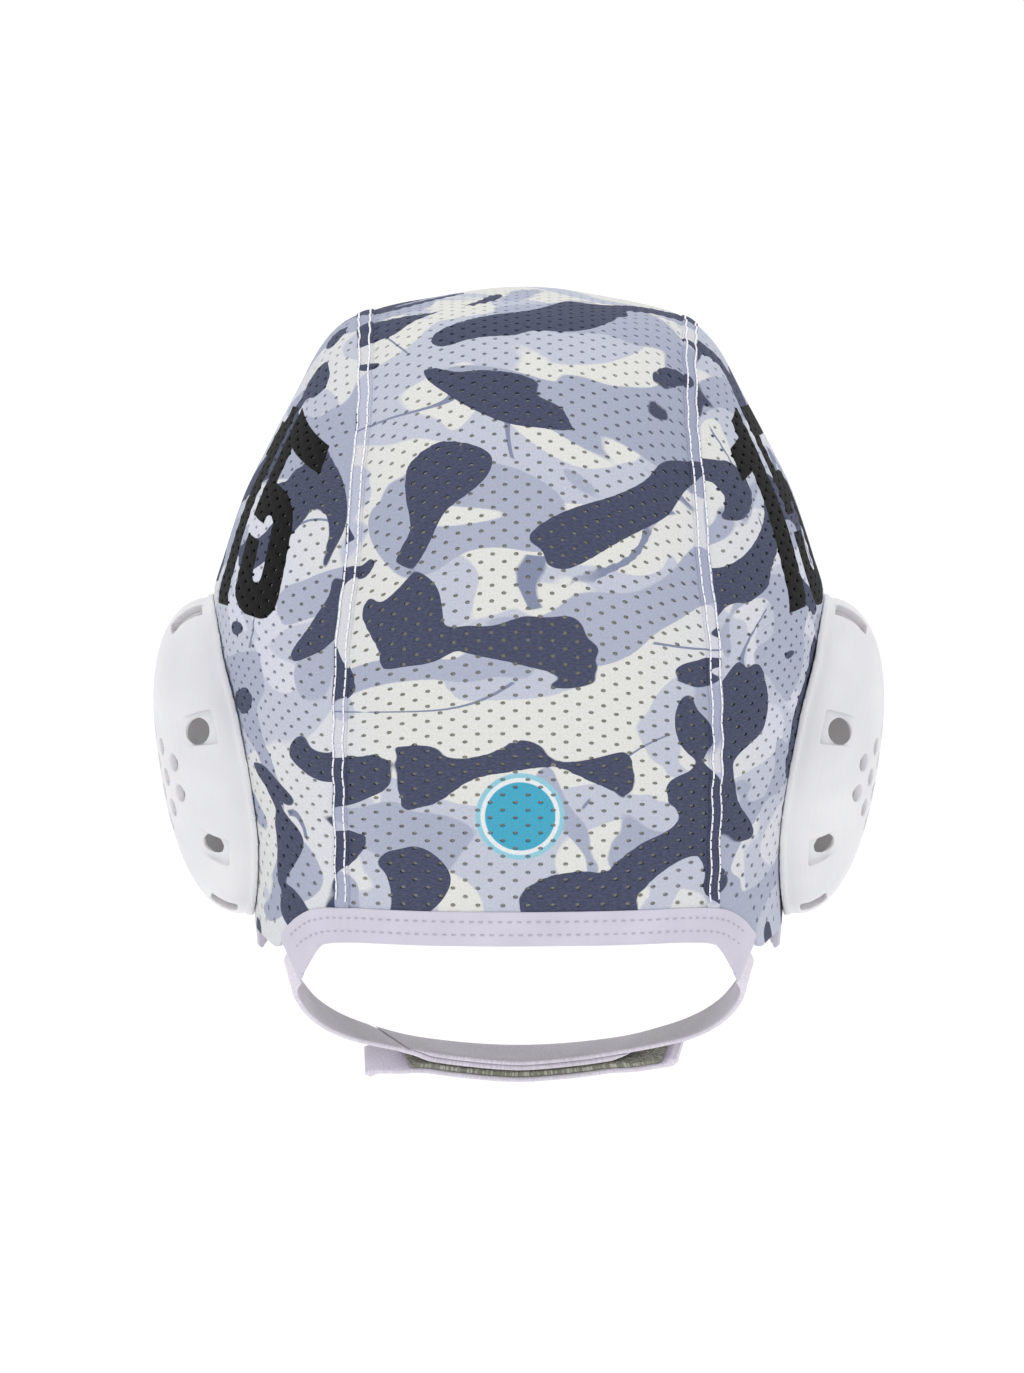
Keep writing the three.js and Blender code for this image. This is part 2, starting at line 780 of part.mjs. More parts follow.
// Places on the hem where the cloth's edge has its corners, so that tape and cloth keep step
function clothCorners() {
  const rows = [centreRows(), seamRows(-1), seamRows(1)];
  const edges = rows.flatMap((cloth) => [...cloth[0], ...cloth[cloth.length - 1]]);
  [-1, 1].forEach((side) => {
    edges.push(...sideOutline(side).filter(({ onHem }) => onHem).map(({ point }) => point));
  });
  return edges.map((point) => {
    const azimuth = azimuthOf(point);
    return azimuth < 0 ? 2 * HEM_LAST - hemRowAt(azimuth) : hemRowAt(azimuth);
  });
}

const CLOTH_CORNERS = clothCorners();

// A tape below the hem between two places, in step with the cloth's corners
function tapeGeometry(from, to, widthAt) {
  const proud = (TAPE_THICK - CLOTH) / 2;
  const between = CLOTH_CORNERS.flatMap((place) => [place, place - 2 * HEM_LAST])
    .filter((place) => place > from + HEM_PROBE && place < to - HEM_PROBE)
    .sort((a, b) => a - b);
  const places = [from, ...between, to].filter((place, i, all) => i === 0 || place - all[i - 1] > HEM_PROBE / 2);
  const tape = places.map((place) => [offHem(place, GAP), offHem(place, GAP + widthAt(place))]);
  return wallGeometry(tape, proud, -CLOTH - proud);
}

function napeTape() {
  return tapeGeometry(-NAPE_TAPE_END, NAPE_TAPE_END, napeTapeWidth);
}

function faceTape() {
  return tapeGeometry(FACE_TAPE_START, 2 * HEM_LAST - FACE_TAPE_START, () => FACE_TAPE);
}

// The chin strap

// The strap starts at the tape's end, a little lower and further in, to pass inside the cloth
function tapeEnd() {
  const middle = offHem(NAPE_TAPE_END, GAP + CORNER_TAPE / 2 + STRAP_TUCK);
  const normal = formNormal(middle);
  return { point: middle.addScaledVector(normal, -CLOTH / 2 - STRAP_TUCK), normal };
}

// The strap's middle line and the way its outer face looks, from the right corner to the left
function strapCurves() {
  const end = tapeEnd();
  const half = [{ point: end.point, normal: end.normal }];
  STRAP_ROUTE.forEach(({ out, along, down, nx, ny, nz }) => {
    half.push({
      point: new THREE.Vector3(
        out * end.point.x,
        mix(end.point.y, CHIN_REACH, along),
        end.point.z - down * STRAP_DROP,
      ),
      normal: new THREE.Vector3(nx, ny, nz),
    });
  });
  const flip = (vector) => new THREE.Vector3(-vector.x, vector.y, vector.z);
  const other = half.slice(0, -1).reverse().map(({ point, normal }) => ({
    point: flip(point),
    normal: flip(normal),
  }));
  const whole = [...half, ...other];
  return {
    line: new THREE.CatmullRomCurve3(whole.map(({ point }) => point), false, 'centripetal'),
    facing: new THREE.CatmullRomCurve3(whole.map(({ normal }) => normal), false, 'centripetal'),
  };
}

const STRAP = strapCurves();
const STRAP_LENGTH = STRAP.line.getLength();

// A flat band along the strap between two distances from its middle, left of it positive.
// layer gives how far the band's inner face lies out of the strap's middle line.
function bandGeometry(from, to, steps, widthAt, layerAt, thickAt) {
  const sections = Array.from({ length: steps + 1 }, (_, i) => {
    const distance = mix(from, to, i / steps);
    const place = STRAP.line.getUtoTmapping(clamp(distance / STRAP_LENGTH + 0.5, 0, 1));
    const point = STRAP.line.getPoint(place);
    const tangent = STRAP.line.getTangent(place);
    const facing = STRAP.facing.getPoint(place);
    const outward = facing.addScaledVector(tangent, -facing.dot(tangent)).normalize();
    const forward = outward.clone().cross(tangent);
    const corner = (across, out) => point.clone()
      .addScaledVector(forward, across * widthAt(distance) / 2)
      .addScaledVector(outward, layerAt(distance) + out * thickAt(distance));
    return [corner(-1, 0), corner(1, 0), corner(1, 1), corner(-1, 1)];
  });
  return sectionsGeometry(sections);
}

const LAYER = STRAP_THICK + GAP;
const STRAP_HALF = STRAP_LENGTH / 2 - STRAP_START;
const TONGUE_END = OVERLAP_RIGHT - FLAP_EXTRA;

function strapWidth(distance) {
  const start = CORNER_TAPE - 2 * STRAP_TUCK;
  const narrowing = ease(STRAP_TAPER_SHARE * STRAP_LENGTH, STRAP_LENGTH / 2, Math.abs(distance));
  return mix(STRAP_WIDTH, start, narrowing);
}

function strapThick() {
  return STRAP_THICK;
}

function rightStrap() {
  return bandGeometry(-STRAP_HALF, OVERLAP_LEFT, STRAP_STEPS, strapWidth, () => -STRAP_THICK / 2, strapThick);
}

// The left strap passes under the right one's end, on its outer side
function leftStrap() {
  const layer = (distance) => (
    LAYER * (1 - ease(OVERLAP_LEFT + STEP_CLEAR, OVERLAP_LEFT + STEP_LENGTH, distance)) - STRAP_THICK / 2
  );
  return bandGeometry(-TONGUE_END, STRAP_HALF, STRAP_STEPS, strapWidth, layer, strapThick);
}

// The closure's two layers stand off the right strap a little past the tongue's end
function closureLayer(distance) {
  const free = ease(TONGUE_END - STEP_LENGTH, TONGUE_END + STEP_LENGTH, -distance);
  return 2 * LAYER + END_LIFT * free - STRAP_THICK / 2;
}

function hookTape() {
  const from = -OVERLAP_RIGHT - FLAP_EXTRA;
  return bandGeometry(
    from,
    OVERLAP_LEFT - TAB_LENGTH,
    CLOSURE_STEPS,
    () => HOOK_WIDTH,
    closureLayer,
    () => HOOK_THICK,
  );
}

// The closure flap, whose free left end is rolled back as a pull tab
function closureFlap() {
  const end = OVERLAP_LEFT + FLAP_EXTRA;
  const rolled = (distance) => ease(OVERLAP_LEFT - TAB_LENGTH, end - TAB_LENGTH / 2, distance);
  return bandGeometry(
    -OVERLAP_RIGHT - FLAP_EXTRA,
    end,
    CLOSURE_STEPS,
    () => FLAP_WIDTH,
    (distance) => closureLayer(distance) + HOOK_THICK + GAP + TAB_LIFT * rolled(distance),
    (distance) => STRAP_THICK * (1 + rolled(distance)),
  );
}

// The whole cap

function piece(name, geometry, finish) {
  const mesh = new THREE.Mesh(geometry, new THREE.MeshStandardMaterial(FINISH[finish]));
  mesh.name = name;
  return mesh;
}

function guardGroup(name, geometry, side) {
  const place = new THREE.Group();
  place.position.set(RIM_MIDDLE.x * side, 0, RIM_MIDDLE.z);
  place.rotation.y = GUARD_TILT * side;
  place.add(piece(name, geometry, 'guard'));
  return place;
}

const guard = guardGeometry();

const cloth = new THREE.Group();
cloth.add(piece('centre_panel', centrePanel(), 'cloth'));
cloth.add(piece('side_panel_left', sidePanel(-1), 'cloth'));
cloth.add(piece('side_panel_right', sidePanel(1), 'cloth'));
cloth.add(piece('seam_band_left', seamBand(-1), 'seam'));
cloth.add(piece('seam_band_right', seamBand(1), 'seam'));

const tapes = new THREE.Group();
tapes.add(piece('nape_tape', napeTape(), 'tape'));
tapes.add(piece('face_tape', faceTape(), 'tape'));

const chinStrap = new THREE.Group();
chinStrap.add(piece('chin_strap_left', leftStrap(), 'strap'));
chinStrap.add(piece('chin_strap_right', rightStrap(), 'strap'));
chinStrap.add(piece('hook_tape', hookTape(), 'hook'));
chinStrap.add(piece('closure_flap', closureFlap(), 'strap'));

const cap = new THREE.Group();
cap.add(cloth);
cap.add(tapes);
cap.add(chinStrap);
cap.add(guardGroup('ear_guard_left', mirrored(guard), -1));
cap.add(guardGroup('ear_guard_right', guard, 1));

export default cap;
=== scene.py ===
import math

import bpy
import numpy as np
from mathutils import Matrix, Vector


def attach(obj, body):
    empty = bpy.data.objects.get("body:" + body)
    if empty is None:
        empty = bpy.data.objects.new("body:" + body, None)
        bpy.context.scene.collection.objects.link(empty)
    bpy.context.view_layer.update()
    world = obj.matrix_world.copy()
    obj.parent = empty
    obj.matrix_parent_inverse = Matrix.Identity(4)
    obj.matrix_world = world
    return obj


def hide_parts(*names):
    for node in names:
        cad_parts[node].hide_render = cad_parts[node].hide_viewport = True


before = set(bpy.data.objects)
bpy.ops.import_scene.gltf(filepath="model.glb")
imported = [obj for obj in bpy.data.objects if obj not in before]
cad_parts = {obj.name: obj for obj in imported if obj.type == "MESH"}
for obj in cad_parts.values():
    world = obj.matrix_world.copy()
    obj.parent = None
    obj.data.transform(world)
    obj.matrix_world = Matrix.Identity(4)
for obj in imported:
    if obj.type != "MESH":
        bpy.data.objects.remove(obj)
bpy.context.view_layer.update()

bl_info = {
    "name": "Water Polo Cap",
    "version": (1, 0, 0),
    "blender": (4, 5, 0),
    "location": "3D View > Sidebar > Cap",
    "description": "Builds a mesh cloth water polo cap with ear guards and a chin strap",
    "category": "Add Mesh",
}

# The form is worked out in millimetres, +Z up, +Y towards the face, +X to the wearer's right.
MM = 0.001

# Sizes of the form, as in the part
CAP_WIDTH = 169
BACK_REACH = 98
FRONT_REACH = 97.5
CAP_HEIGHT = 184
CLOTH = 1.3
ROUNDNESS = 2.25
CORE = np.array([0.0, 0.0, CLOTH - 96])
PANEL_HALF = 50
PANEL_SHIFT = 2.4
SEAM_CLEAR = 2.5
SEAM_LAP = 0.7
SEAM_STITCH = 1.65
GAP = 0.3

# Level sections: depth, then side, back and front shares
SECTIONS = np.array([
    [0.0, 0.0, 0.0, 0.0],
    [0.015, 0.262, 0.27, 0.29],
    [0.049, 0.556, 0.51, 0.55],
    [0.087, 0.642, 0.635, 0.675],
    [0.163, 0.735, 0.78, 0.815],
    [0.239, 0.823, 0.868, 0.892],
    [0.315, 0.905, 0.929, 0.944],
    [0.402, 0.966, 0.974, 0.979],
    [0.465, 1.0, 0.995, 0.995],
    [0.533, 0.998, 1.0, 1.0],
    [0.636, 0.96, 0.98, 0.995],
    [0.734, 0.922, 0.939, 0.974],
    [0.821, 0.893, 0.888, 0.944],
    [0.908, 0.876, 0.837, 0.91],
    [1.0, 0.864, 0.796, 0.87],
])

# Half width of the centre panel by the angle round the ear axis
SEAM_SPREAD = np.array([
    [-50, 1.005], [-20, 1.018], [0, 1.0], [17, 0.945], [29, 0.925],
    [50, 0.885], [90, 0.9], [135, 0.92], [190, 0.94],
])

# The cloth's lower edge: azimuth from the nape, and depth
HEM = np.array([
    [0, 0.909], [15, 0.909], [30, 0.909], [39, 0.912], [44, 0.918], [49, 0.932], [55, 0.957],
    [60, 0.979], [67, 0.97], [86, 0.96], [100, 0.959], [108, 0.939], [113, 0.895],
    [117, 0.83], [121, 0.755], [127, 0.672], [136, 0.602], [148, 0.556], [163, 0.53],
    [180, 0.52],
])
HEM_LAST = len(HEM) - 1

# The strap's route: out, along, down, and the way its outer face looks
STRAP_ROUTE = np.array([
    [1.03, 0.08, 0.11, 0.93, -0.36, -0.1],
    [1.0, 0.19, 0.25, 0.97, -0.08, -0.22],
    [0.95, 0.33, 0.4, 0.9, 0.04, -0.43],
    [0.87, 0.48, 0.55, 0.72, 0.12, -0.68],
    [0.75, 0.64, 0.69, 0.5, 0.17, -0.85],
    [0.58, 0.8, 0.82, 0.3, 0.2, -0.93],
    [0.36, 0.925, 0.93, 0.12, 0.21, -0.97],
    [0.0, 1.0, 1.0, 0.0, 0.215, -0.977],
])
STRAP_DROP = 35.8
STRAP_TUCK = 1.1
CHIN_REACH = 53
OVERLAP_LEFT = 43
OVERLAP_RIGHT = 45
TONGUE_END = 41
LAYER = 1.7
STRAP_WIDTH = 15
STRAP_THICK = 1.4
TAB_WIDTH = 16
FREE_FROM = 29.0

# Tapes: places along the hem table, and widths
NAPE_TAPE_END = 6.5
FACE_TAPE_START = 9.6
NAPE_TAPE_WIDTH = 8.8
FACE_TAPE_WIDTH = 8.0
TAPE_END_WIDTH = 12.5
TAPE_UNDER = 1.72

# Ear guards in their own frame: X outwards, Y forward, Z up the rim
GUARD_TOP_DEPTH = 85
GUARD_HEIGHT = 90
GUARD_LENGTH = 74
GUARD_RISE = 21.4
GUARD_WALL = 2.2
GUARD_ROUNDNESS = 2.45
GUARD_CROWNING = 2.3
GUARD_TAPER = 0.07
GUARD_APEX_SHIFT = 5
LIP_HEIGHT = 1.7
LIP_STEP = 0.7
OPENING_INSET = 4.0
SOUND_COLUMNS = (2, 3, 4, 3, 4, 3, 2)
SOUND_PITCH = 8.6
SOUND_HOLE = 4.9
SOUND_DROP = 3

# The photograph's frame, in pixels
FRAME_HEIGHT = 1373
FOCAL_LENGTH = 9000


# Sizes and colours that a user would change

def distance_size(name, description, default):
    return bpy.props.FloatProperty(
        name=name, description=description, default=default, subtype="DISTANCE", unit="LENGTH")


def hex_colour(name, description, default):
    return bpy.props.StringProperty(name=name, description=description, default=default)


class CapSizes(bpy.types.PropertyGroup):
    hole_pitch: distance_size("Hole pitch", "Distance between columns of perforations", 0.00355)
    hole_rise: distance_size("Hole rise", "Distance between perforations down a column", 0.00435)
    hole_width: distance_size("Hole width", "Width of one oval perforation", 0.0016)
    hole_height: distance_size("Hole height", "Height of one oval perforation", 0.00105)
    cloth_thickness: distance_size("Cloth thickness", "Thickness of the lined mesh", 0.0012)
    stitch_pitch: distance_size("Stitch pitch", "Distance from one stitch to the next", 0.0026)
    thread: distance_size("Thread", "Thickness of the sewing thread", 0.00055)
    camera_distance: distance_size("Camera distance", "From the camera to the middle of the cap", 2.5)
    camera_height: bpy.props.FloatProperty(
        name="Camera height", description="Angle of the camera above the horizon",
        default=math.radians(4), subtype="ANGLE", unit="ROTATION")


class CapColours(bpy.types.PropertyGroup):
    light: hex_colour("Light print", "Ground of the print", "D6D6D2")
    middle: hex_colour("Middle print", "Blue-grey shapes of the print", "9DA3B6")
    dark: hex_colour("Dark print", "Slate shapes of the print", "40455A")
    number: hex_colour("Number", "Black of the numbers", "0B0B0D")
    badge: hex_colour("Badge", "Teal of the round badge", "46A0BC")
    tape: hex_colour("Tape", "Lavender-white of the edge tapes", "CAC6D4")
    strap: hex_colour("Strap", "Pale lavender of the strap", "E4DFEA")
    hook: hex_colour("Hook tape", "Grey-green of the hook tape", "C6C6B8")
    guard: hex_colour("Ear guard", "White of the ear guards", "DDDDDF")


# Curves through the short tables

def mix(start, end, share):
    return start + (end - start) * share


def ease(start, end, value):
    share = np.clip((value - start) / (end - start), 0, 1)
    return share * share * (3 - 2 * share)


def curve_through(xs, ys):
    """A smooth curve through table rows that never overshoots them."""
    xs, ys = np.asarray(xs, float), np.asarray(ys, float)
    slope = np.diff(ys) / np.diff(xs)
    tangent = np.empty(len(xs))
    tangent[0], tangent[-1] = slope[0], slope[-1]
    before, after = slope[:-1], slope[1:]
    total = np.where(before * after > 0, before + after, 1)
    tangent[1:-1] = np.where(before * after > 0, 2 * before * after / total, 0)

    def value(at):
        at = np.clip(at, xs[0], xs[-1])
        i = np.clip(np.searchsorted(xs, at) - 1, 0, len(xs) - 2)
        span = xs[i + 1] - xs[i]
        t = (at - xs[i]) / span
        t2, t3 = t * t, t * t * t
        start = (2 * t3 - 3 * t2 + 1) * ys[i] + (t3 - 2 * t2 + t) * span * tangent[i]
        return start + (3 * t2 - 2 * t3) * ys[i + 1] + (t3 - t2) * span * tangent[i + 1]

    return value


def lengths_along(line):
    return np.concatenate([[0], np.cumsum(np.linalg.norm(np.diff(line, axis=0), axis=1))])


def at_lengths(places, lengths, rows):
    return np.stack([np.interp(places, lengths, rows[:, k]) for k in range(3)], axis=1)


# The head form that the cloth lies on

SIDE = curve_through(SECTIONS[:, 0], SECTIONS[:, 1] ** 2)
BACK = curve_through(SECTIONS[:, 0], SECTIONS[:, 2] ** 2)
FRONT = curve_through(SECTIONS[:, 0], SECTIONS[:, 3] ** 2)
SPREAD = curve_through(SEAM_SPREAD[:, 0], SEAM_SPREAD[:, 1])
HEM_AZIMUTH = curve_through(range(len(HEM)), HEM[:, 0])
HEM_DEPTH = curve_through(range(len(HEM)), HEM[:, 1])
HEM_ROWS = np.linspace(0, HEM_LAST, 4000)
HEM_ROW_AZIMUTHS = HEM_AZIMUTH(HEM_ROWS)


def form_value(points):
    """Below zero inside the form, above zero outside it."""
    depth = CLOTH - points[..., 2]
    share = np.maximum(depth, 0) / CAP_HEIGHT
    side = CAP_WIDTH / 2 * np.sqrt(np.maximum(SIDE(share), 1e-9))
    back = BACK_REACH * np.sqrt(np.maximum(BACK(share), 1e-9))
    front = FRONT_REACH * np.sqrt(np.maximum(FRONT(share), 1e-9))
    deep = np.where(points[..., 1] < 0, back, front)
    value = (np.abs(points[..., 0]) / side) ** ROUNDNESS + (np.abs(points[..., 1]) / deep) ** ROUNDNESS - 1
    return np.where(depth <= 0, 1.0, value)


def edge_of_form(start, direction, reach=360.0):
    start, direction = np.broadcast_arrays(start, direction)
    near = np.zeros(start.shape[:-1])
    far = np.full(start.shape[:-1], reach)
    for _ in range(34):
        middle = (near + far) / 2
        inside = form_value(start + direction * middle[..., None]) < 0
        near = np.where(inside, middle, near)
        far = np.where(inside, far, middle)
    return start + direction * ((near + far) / 2)[..., None]


def unit(vectors):
    return vectors / np.maximum(np.linalg.norm(vectors, axis=-1, keepdims=True), 1e-12)


def onto_form(points):
    return edge_of_form(CORE, unit(points - CORE))


def form_normal(points):
    slopes = []
    for axis in range(3):
        step = np.zeros(3)
        step[axis] = 0.05
        slopes.append(form_value(points + step) - form_value(points - step))
    return unit(np.stack(slopes, axis=-1))


def meridian_point(x, turn):
    x, angle = np.broadcast_arrays(x, np.radians(turn))
    start = np.stack([x, np.zeros_like(angle), np.full_like(angle, CORE[2])], axis=-1)
    direction = np.stack([np.zeros_like(angle), -np.cos(angle), np.sin(angle)], axis=-1)
    return edge_of_form(start, direction)


def level_point(azimuth, depth):
    angle, depth = np.broadcast_arrays(np.radians(azimuth), depth)
    start = np.stack([np.zeros_like(angle), np.zeros_like(angle), CLOTH - depth], axis=-1)
    direction = np.stack([np.sin(angle), -np.cos(angle), np.zeros_like(angle)], axis=-1)
    return edge_of_form(start, direction)


def azimuth_of(points):
    return np.degrees(np.arctan2(points[..., 0], -points[..., 1]))


def hem_row_at(azimuth):
    return np.interp(np.abs(azimuth), HEM_ROW_AZIMUTHS, HEM_ROWS)


def hem_depth_at(azimuth):
    return HEM_DEPTH(hem_row_at(azimuth)) * CAP_HEIGHT


def onto_hem(points):
    azimuth = azimuth_of(points)
    return level_point(azimuth, hem_depth_at(azimuth))


def hem_place(place):
    """A point round the whole hem: 0 at the nape, HEM_LAST at the forehead."""
    place = np.where(place > HEM_LAST, place - 2 * HEM_LAST, place)
    side = np.where(place < 0, -1, 1)
    return level_point(HEM_AZIMUTH(np.abs(place)) * side, HEM_DEPTH(np.abs(place)) * CAP_HEIGHT)


def off_hem(place, distance):
    point = hem_place(place)
    along = hem_place(place + 0.05) - hem_place(place - 0.05)
    away = unit(np.cross(along, form_normal(point)))
    return onto_form(point + away * np.asarray(distance)[..., None])


def strand_x(across, turn):
    return PANEL_SHIFT + across * PANEL_HALF * SPREAD(turn)


def strand_end(across, low, high):
    def above(turn):
        point = meridian_point(strand_x(across, turn), turn)
        return CLOTH - point[..., 2] < hem_depth_at(azimuth_of(point))

    near = np.full(across.shape, float(low))
    far = np.full(across.shape, float(high))
    low_is_above = above(near)
    for _ in range(26):
        middle = (near + far) / 2
        same = above(middle) == low_is_above
        near = np.where(same, middle, near)
        far = np.where(same, far, middle)
    return (near + far) / 2


ACROSS = np.linspace(-1, 1, 61)
NAPE_ENDS = strand_end(ACROSS, 60, -70)
FACE_ENDS = strand_end(ACROSS, 120, 210)


def strand_point(across, share):
    across, share = np.broadcast_arrays(across, share)
    turn = mix(np.interp(across, ACROSS, NAPE_ENDS), np.interp(across, ACROSS, FACE_ENDS), share)
    return meridian_point(strand_x(across, turn), turn)


def beside_seam(side, share, distance):
    """A point beside a seam, at a distance away from the centre panel."""
    share = np.asarray(share, float)
    point = strand_point(side, share)
    ahead = strand_point(side, np.minimum(share + 0.01, 1))
    behind = strand_point(side, np.maximum(share - 0.01, 0))
    across = unit(np.cross(ahead - behind, form_normal(point)))
    across = np.where((across[..., :1] * side) < 0, -across, across)
    beside = onto_form(point + across * np.asarray(distance)[..., None])
    at_end = ((share <= 0) | (share >= 1))[..., None]
    return np.where(at_end, onto_hem(beside), beside)


# Low relief of the cloth: gathers beside the seams and slack between them

SEAM_SHARES = np.linspace(0, 1, 500)
SEAM_LINES = [strand_point(side, SEAM_SHARES) for side in (-1, 1)]
SEAM_LENGTHS = [lengths_along(line) for line in SEAM_LINES]


def from_seam(points):
    """Distance from the nearest seam, and how far along it the nearest place is."""
    flat = points.reshape(-1, 3)
    best = np.full(len(flat), 1e9)
    place = np.zeros(len(flat))
    for line, length in zip(SEAM_LINES, SEAM_LENGTHS):
        for first in range(0, len(flat), 4000):
            part = flat[first:first + 4000]
            squares = ((part[:, None, :] - line[None, :, :]) ** 2).sum(axis=2)
            nearest = squares.argmin(axis=1)
            distance = np.sqrt(squares[np.arange(len(part)), nearest])
            closer = distance < best[first:first + 4000]
            place[first:first + 4000][closer] = length[nearest][closer]
            best[first:first + 4000][closer] = distance[closer]
    return best.reshape(points.shape[:-1]), place.reshape(points.shape[:-1])


def relief(points):
    distance, along = from_seam(points)
    x, y, z = points[..., 0], points[..., 1], points[..., 2]
    gathers = np.sin(along / 1.9 + 1.3 * np.sin(along / 7.3)) * (0.65 + 0.35 * np.sin(along / 23))
    slack = np.sin(x / 13 + 1.4 * np.sin(z / 19)) * np.sin(z / 17 + y / 21 + 0.6)
    puff = 0.55 * (1 - np.exp(-((distance / 7) ** 2))) * np.exp(-((distance / 30) ** 2))
    near_seam = np.exp(-((distance / 6.0) ** 2))
    return 0.36 * gathers * near_seam + puff + 0.3 * slack * (1 - np.exp(-((distance / 16) ** 2)))


# Meshes

# The holes' edges sink by HOLE_DIP, and their floors lie LINING above the underside.
HOLE_DIP = 0.2
LINING = 0.3


def make_object(name, points, faces):
    mesh = bpy.data.meshes.new(name)
    mesh.from_pydata((np.asarray(points) * MM).tolist(), [], faces)
    mesh.update()
    piece = bpy.data.objects.new(name, mesh)
    bpy.context.scene.collection.objects.link(piece)
    return piece


def select_only(piece):
    bpy.ops.object.select_all(action="DESELECT")
    piece.select_set(True)
    bpy.context.view_layer.objects.active = piece


def smooth_by_angle(piece, degrees):
    select_only(piece)
    bpy.ops.object.shade_smooth_by_angle(angle=math.radians(degrees))


def write_map(piece, name, values):
    """Writes a UV map from one pair of numbers for each vertex."""
    layer = piece.data.uv_layers.new(name=name)
    corners = np.empty(len(piece.data.loops), dtype=np.int64)
    piece.data.loops.foreach_get("vertex_index", corners)
    layer.data.foreach_set("uv", np.asarray(values, dtype=np.float32)[corners].ravel())


def outward(piece, merge=False, bevel=0):
    """Turns every face outwards, with doubles merged or edges rounded where asked."""
    select_only(piece)
    bpy.ops.object.mode_set(mode="EDIT")
    bpy.ops.mesh.select_all(action="SELECT")
    if merge:
        bpy.ops.mesh.remove_doubles(threshold=0.000005)
        bpy.ops.mesh.dissolve_degenerate(threshold=0.000004)
    bpy.ops.mesh.normals_make_consistent(inside=False)
    if bevel:
        bpy.ops.mesh.bevel(offset=bevel, segments=3, affect="EDGES")
    bpy.ops.object.mode_set(mode="OBJECT")


def finish_cloth(piece):
    outward(piece, merge=True)
    smooth_by_angle(piece, 50)
    return piece


def dress(piece, material, slot, *nodes):
    if piece.data.materials:
        piece.data.materials[0] = material
    else:
        piece.data.materials.append(material)
    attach(piece, "root")
    if nodes:
        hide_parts(*nodes)
    return piece


def staggered_cells(columns, rows):
    """Corners of a staggered net of cells: a column's cells lie half a row off its neighbours'."""
    lines = [(i, m / 2 - 0.5) for i in range(columns + 1) for m in range(2 * rows + 3)]
    line_of = {key: n for n, key in enumerate(lines)}
    middles = []
    cells = []
    for i in range(columns):
        start = 0.0 if i % 2 == 0 else -0.5
        count = rows if i % 2 == 0 else rows + 1
        first = len(lines) + len(middles)
        middles.extend((i + 0.5, start + j) for j in range(count + 1))
        for j in range(count):
            low = start + j
            cells.append([
                first + j,
                line_of[(i + 1, low)],
                line_of[(i + 1, low + 0.5)],
                line_of[(i + 1, low + 1)],
                first + j + 1,
                line_of[(i, low + 1)],
                line_of[(i, low + 0.5)],
                line_of[(i, low)],
            ])
    return np.array(lines + middles), np.array(cells)


def perforated(name, cloth, chart, cells, inside, sizes, place, number=None):
    """A lined mesh sheet with an oval hole in each whole cell, down to the lining, whose grey-olive is painted
    shade.
    chart holds the cells' corners, already brought inside, and place turns a chart into form points."""
    kept = cells[inside[cells].any(axis=1)]
    whole = inside[kept].all(axis=1)
    middle = chart[kept].mean(axis=1)
    angles = np.radians(np.arange(8) * 45 - 90)
    hole = np.array([sizes.hole_width, sizes.hole_height]) / MM / 2
    ring = np.stack([np.cos(angles), np.sin(angles)], axis=1) * hole
    hole_points = (middle[whole][:, None, :] + ring[None]).reshape(-1, 2)
    all_chart = np.concatenate([chart, hole_points, middle[~whole]])
    faces = []
    first = len(chart)
    for cell in kept[whole]:
        for k in range(8):
            after = (k + 1) % 8
            faces.append((cell[k], cell[after], first + after, first + k))
        first += 8
    rims = len(faces)
    for n, cell in enumerate(kept[~whole]):
        faces.extend((cell[k], cell[(k + 1) % 8], first + n) for k in range(8))
    used = np.unique(np.concatenate(faces))
    renumber = np.full(len(all_chart), -1)
    renumber[used] = np.arange(len(used))
    faces = [tuple(int(renumber[k]) for k in face) for face in faces]
    is_hole = (used >= len(chart)) & (used < first)
    chart_used = all_chart[used]
    base = place(chart_used)
    normal = form_normal(base)
    lift = relief(base)
    thickness = sizes.cloth_thickness / MM
    top = base + normal * (lift - HOLE_DIP * is_hole)[:, None]
    under = base + normal * (lift - np.where(is_hole, thickness - LINING, thickness))[:, None]
    count = len(top)
    sides = set()
    for face in faces:
        sides.update(zip(face, face[1:] + face[:1]))
    walls = [(b, a, a + count, b + count) for a, b in sides if (b, a) not in sides and a != b]
    floors = [
        tuple(int(renumber[len(chart) + 8 * n + k]) + count for k in range(8)) for n in range(int(whole.sum()))
    ]
    under_faces = [tuple(int(renumber[k]) + count for k in reversed(cell)) for cell in kept[whole]]
    under_faces += [tuple(k + count for k in reversed(face)) for face in faces[rims:]]
    piece = make_object(name, np.concatenate([top, under]), faces + under_faces + walls + floors)
    write_map(piece, "cloth", np.concatenate([chart_used, chart_used]))
    if number is not None:
        values = number(base)
        write_map(piece, "number", np.concatenate([values, values]))
    piece.data.materials.append(cloth)
    # the underside and the hole floors wear the lining, whose grey-olive is painted shade for the dim inside of
    # the cap
    piece.data.materials.append(shared("Polyester tricot lining, undyed", lining))
    slots = np.zeros(len(piece.data.polygons), dtype=np.int32)
    slots[len(faces):len(faces) + len(under_faces)] = 1
    slots[len(slots) - len(floors):] = 1
    piece.data.polygons.foreach_set("material_index", slots)
    return finish_cloth(piece)


def tube(name, sections):
    """A solid through sections of equal count."""
    count = len(sections[0])
    points = np.concatenate(sections)
    faces = []
    for i in range(len(sections) - 1):
        for j in range(count):
            k = (j + 1) % count
            row = i * count
            faces.append((row + j, row + k, row + count + k, row + count + j))
    last = (len(sections) - 1) * count
    faces.append(tuple(reversed(range(count))))
    faces.append(tuple(range(last, last + count)))
    return make_object(name, points, faces)


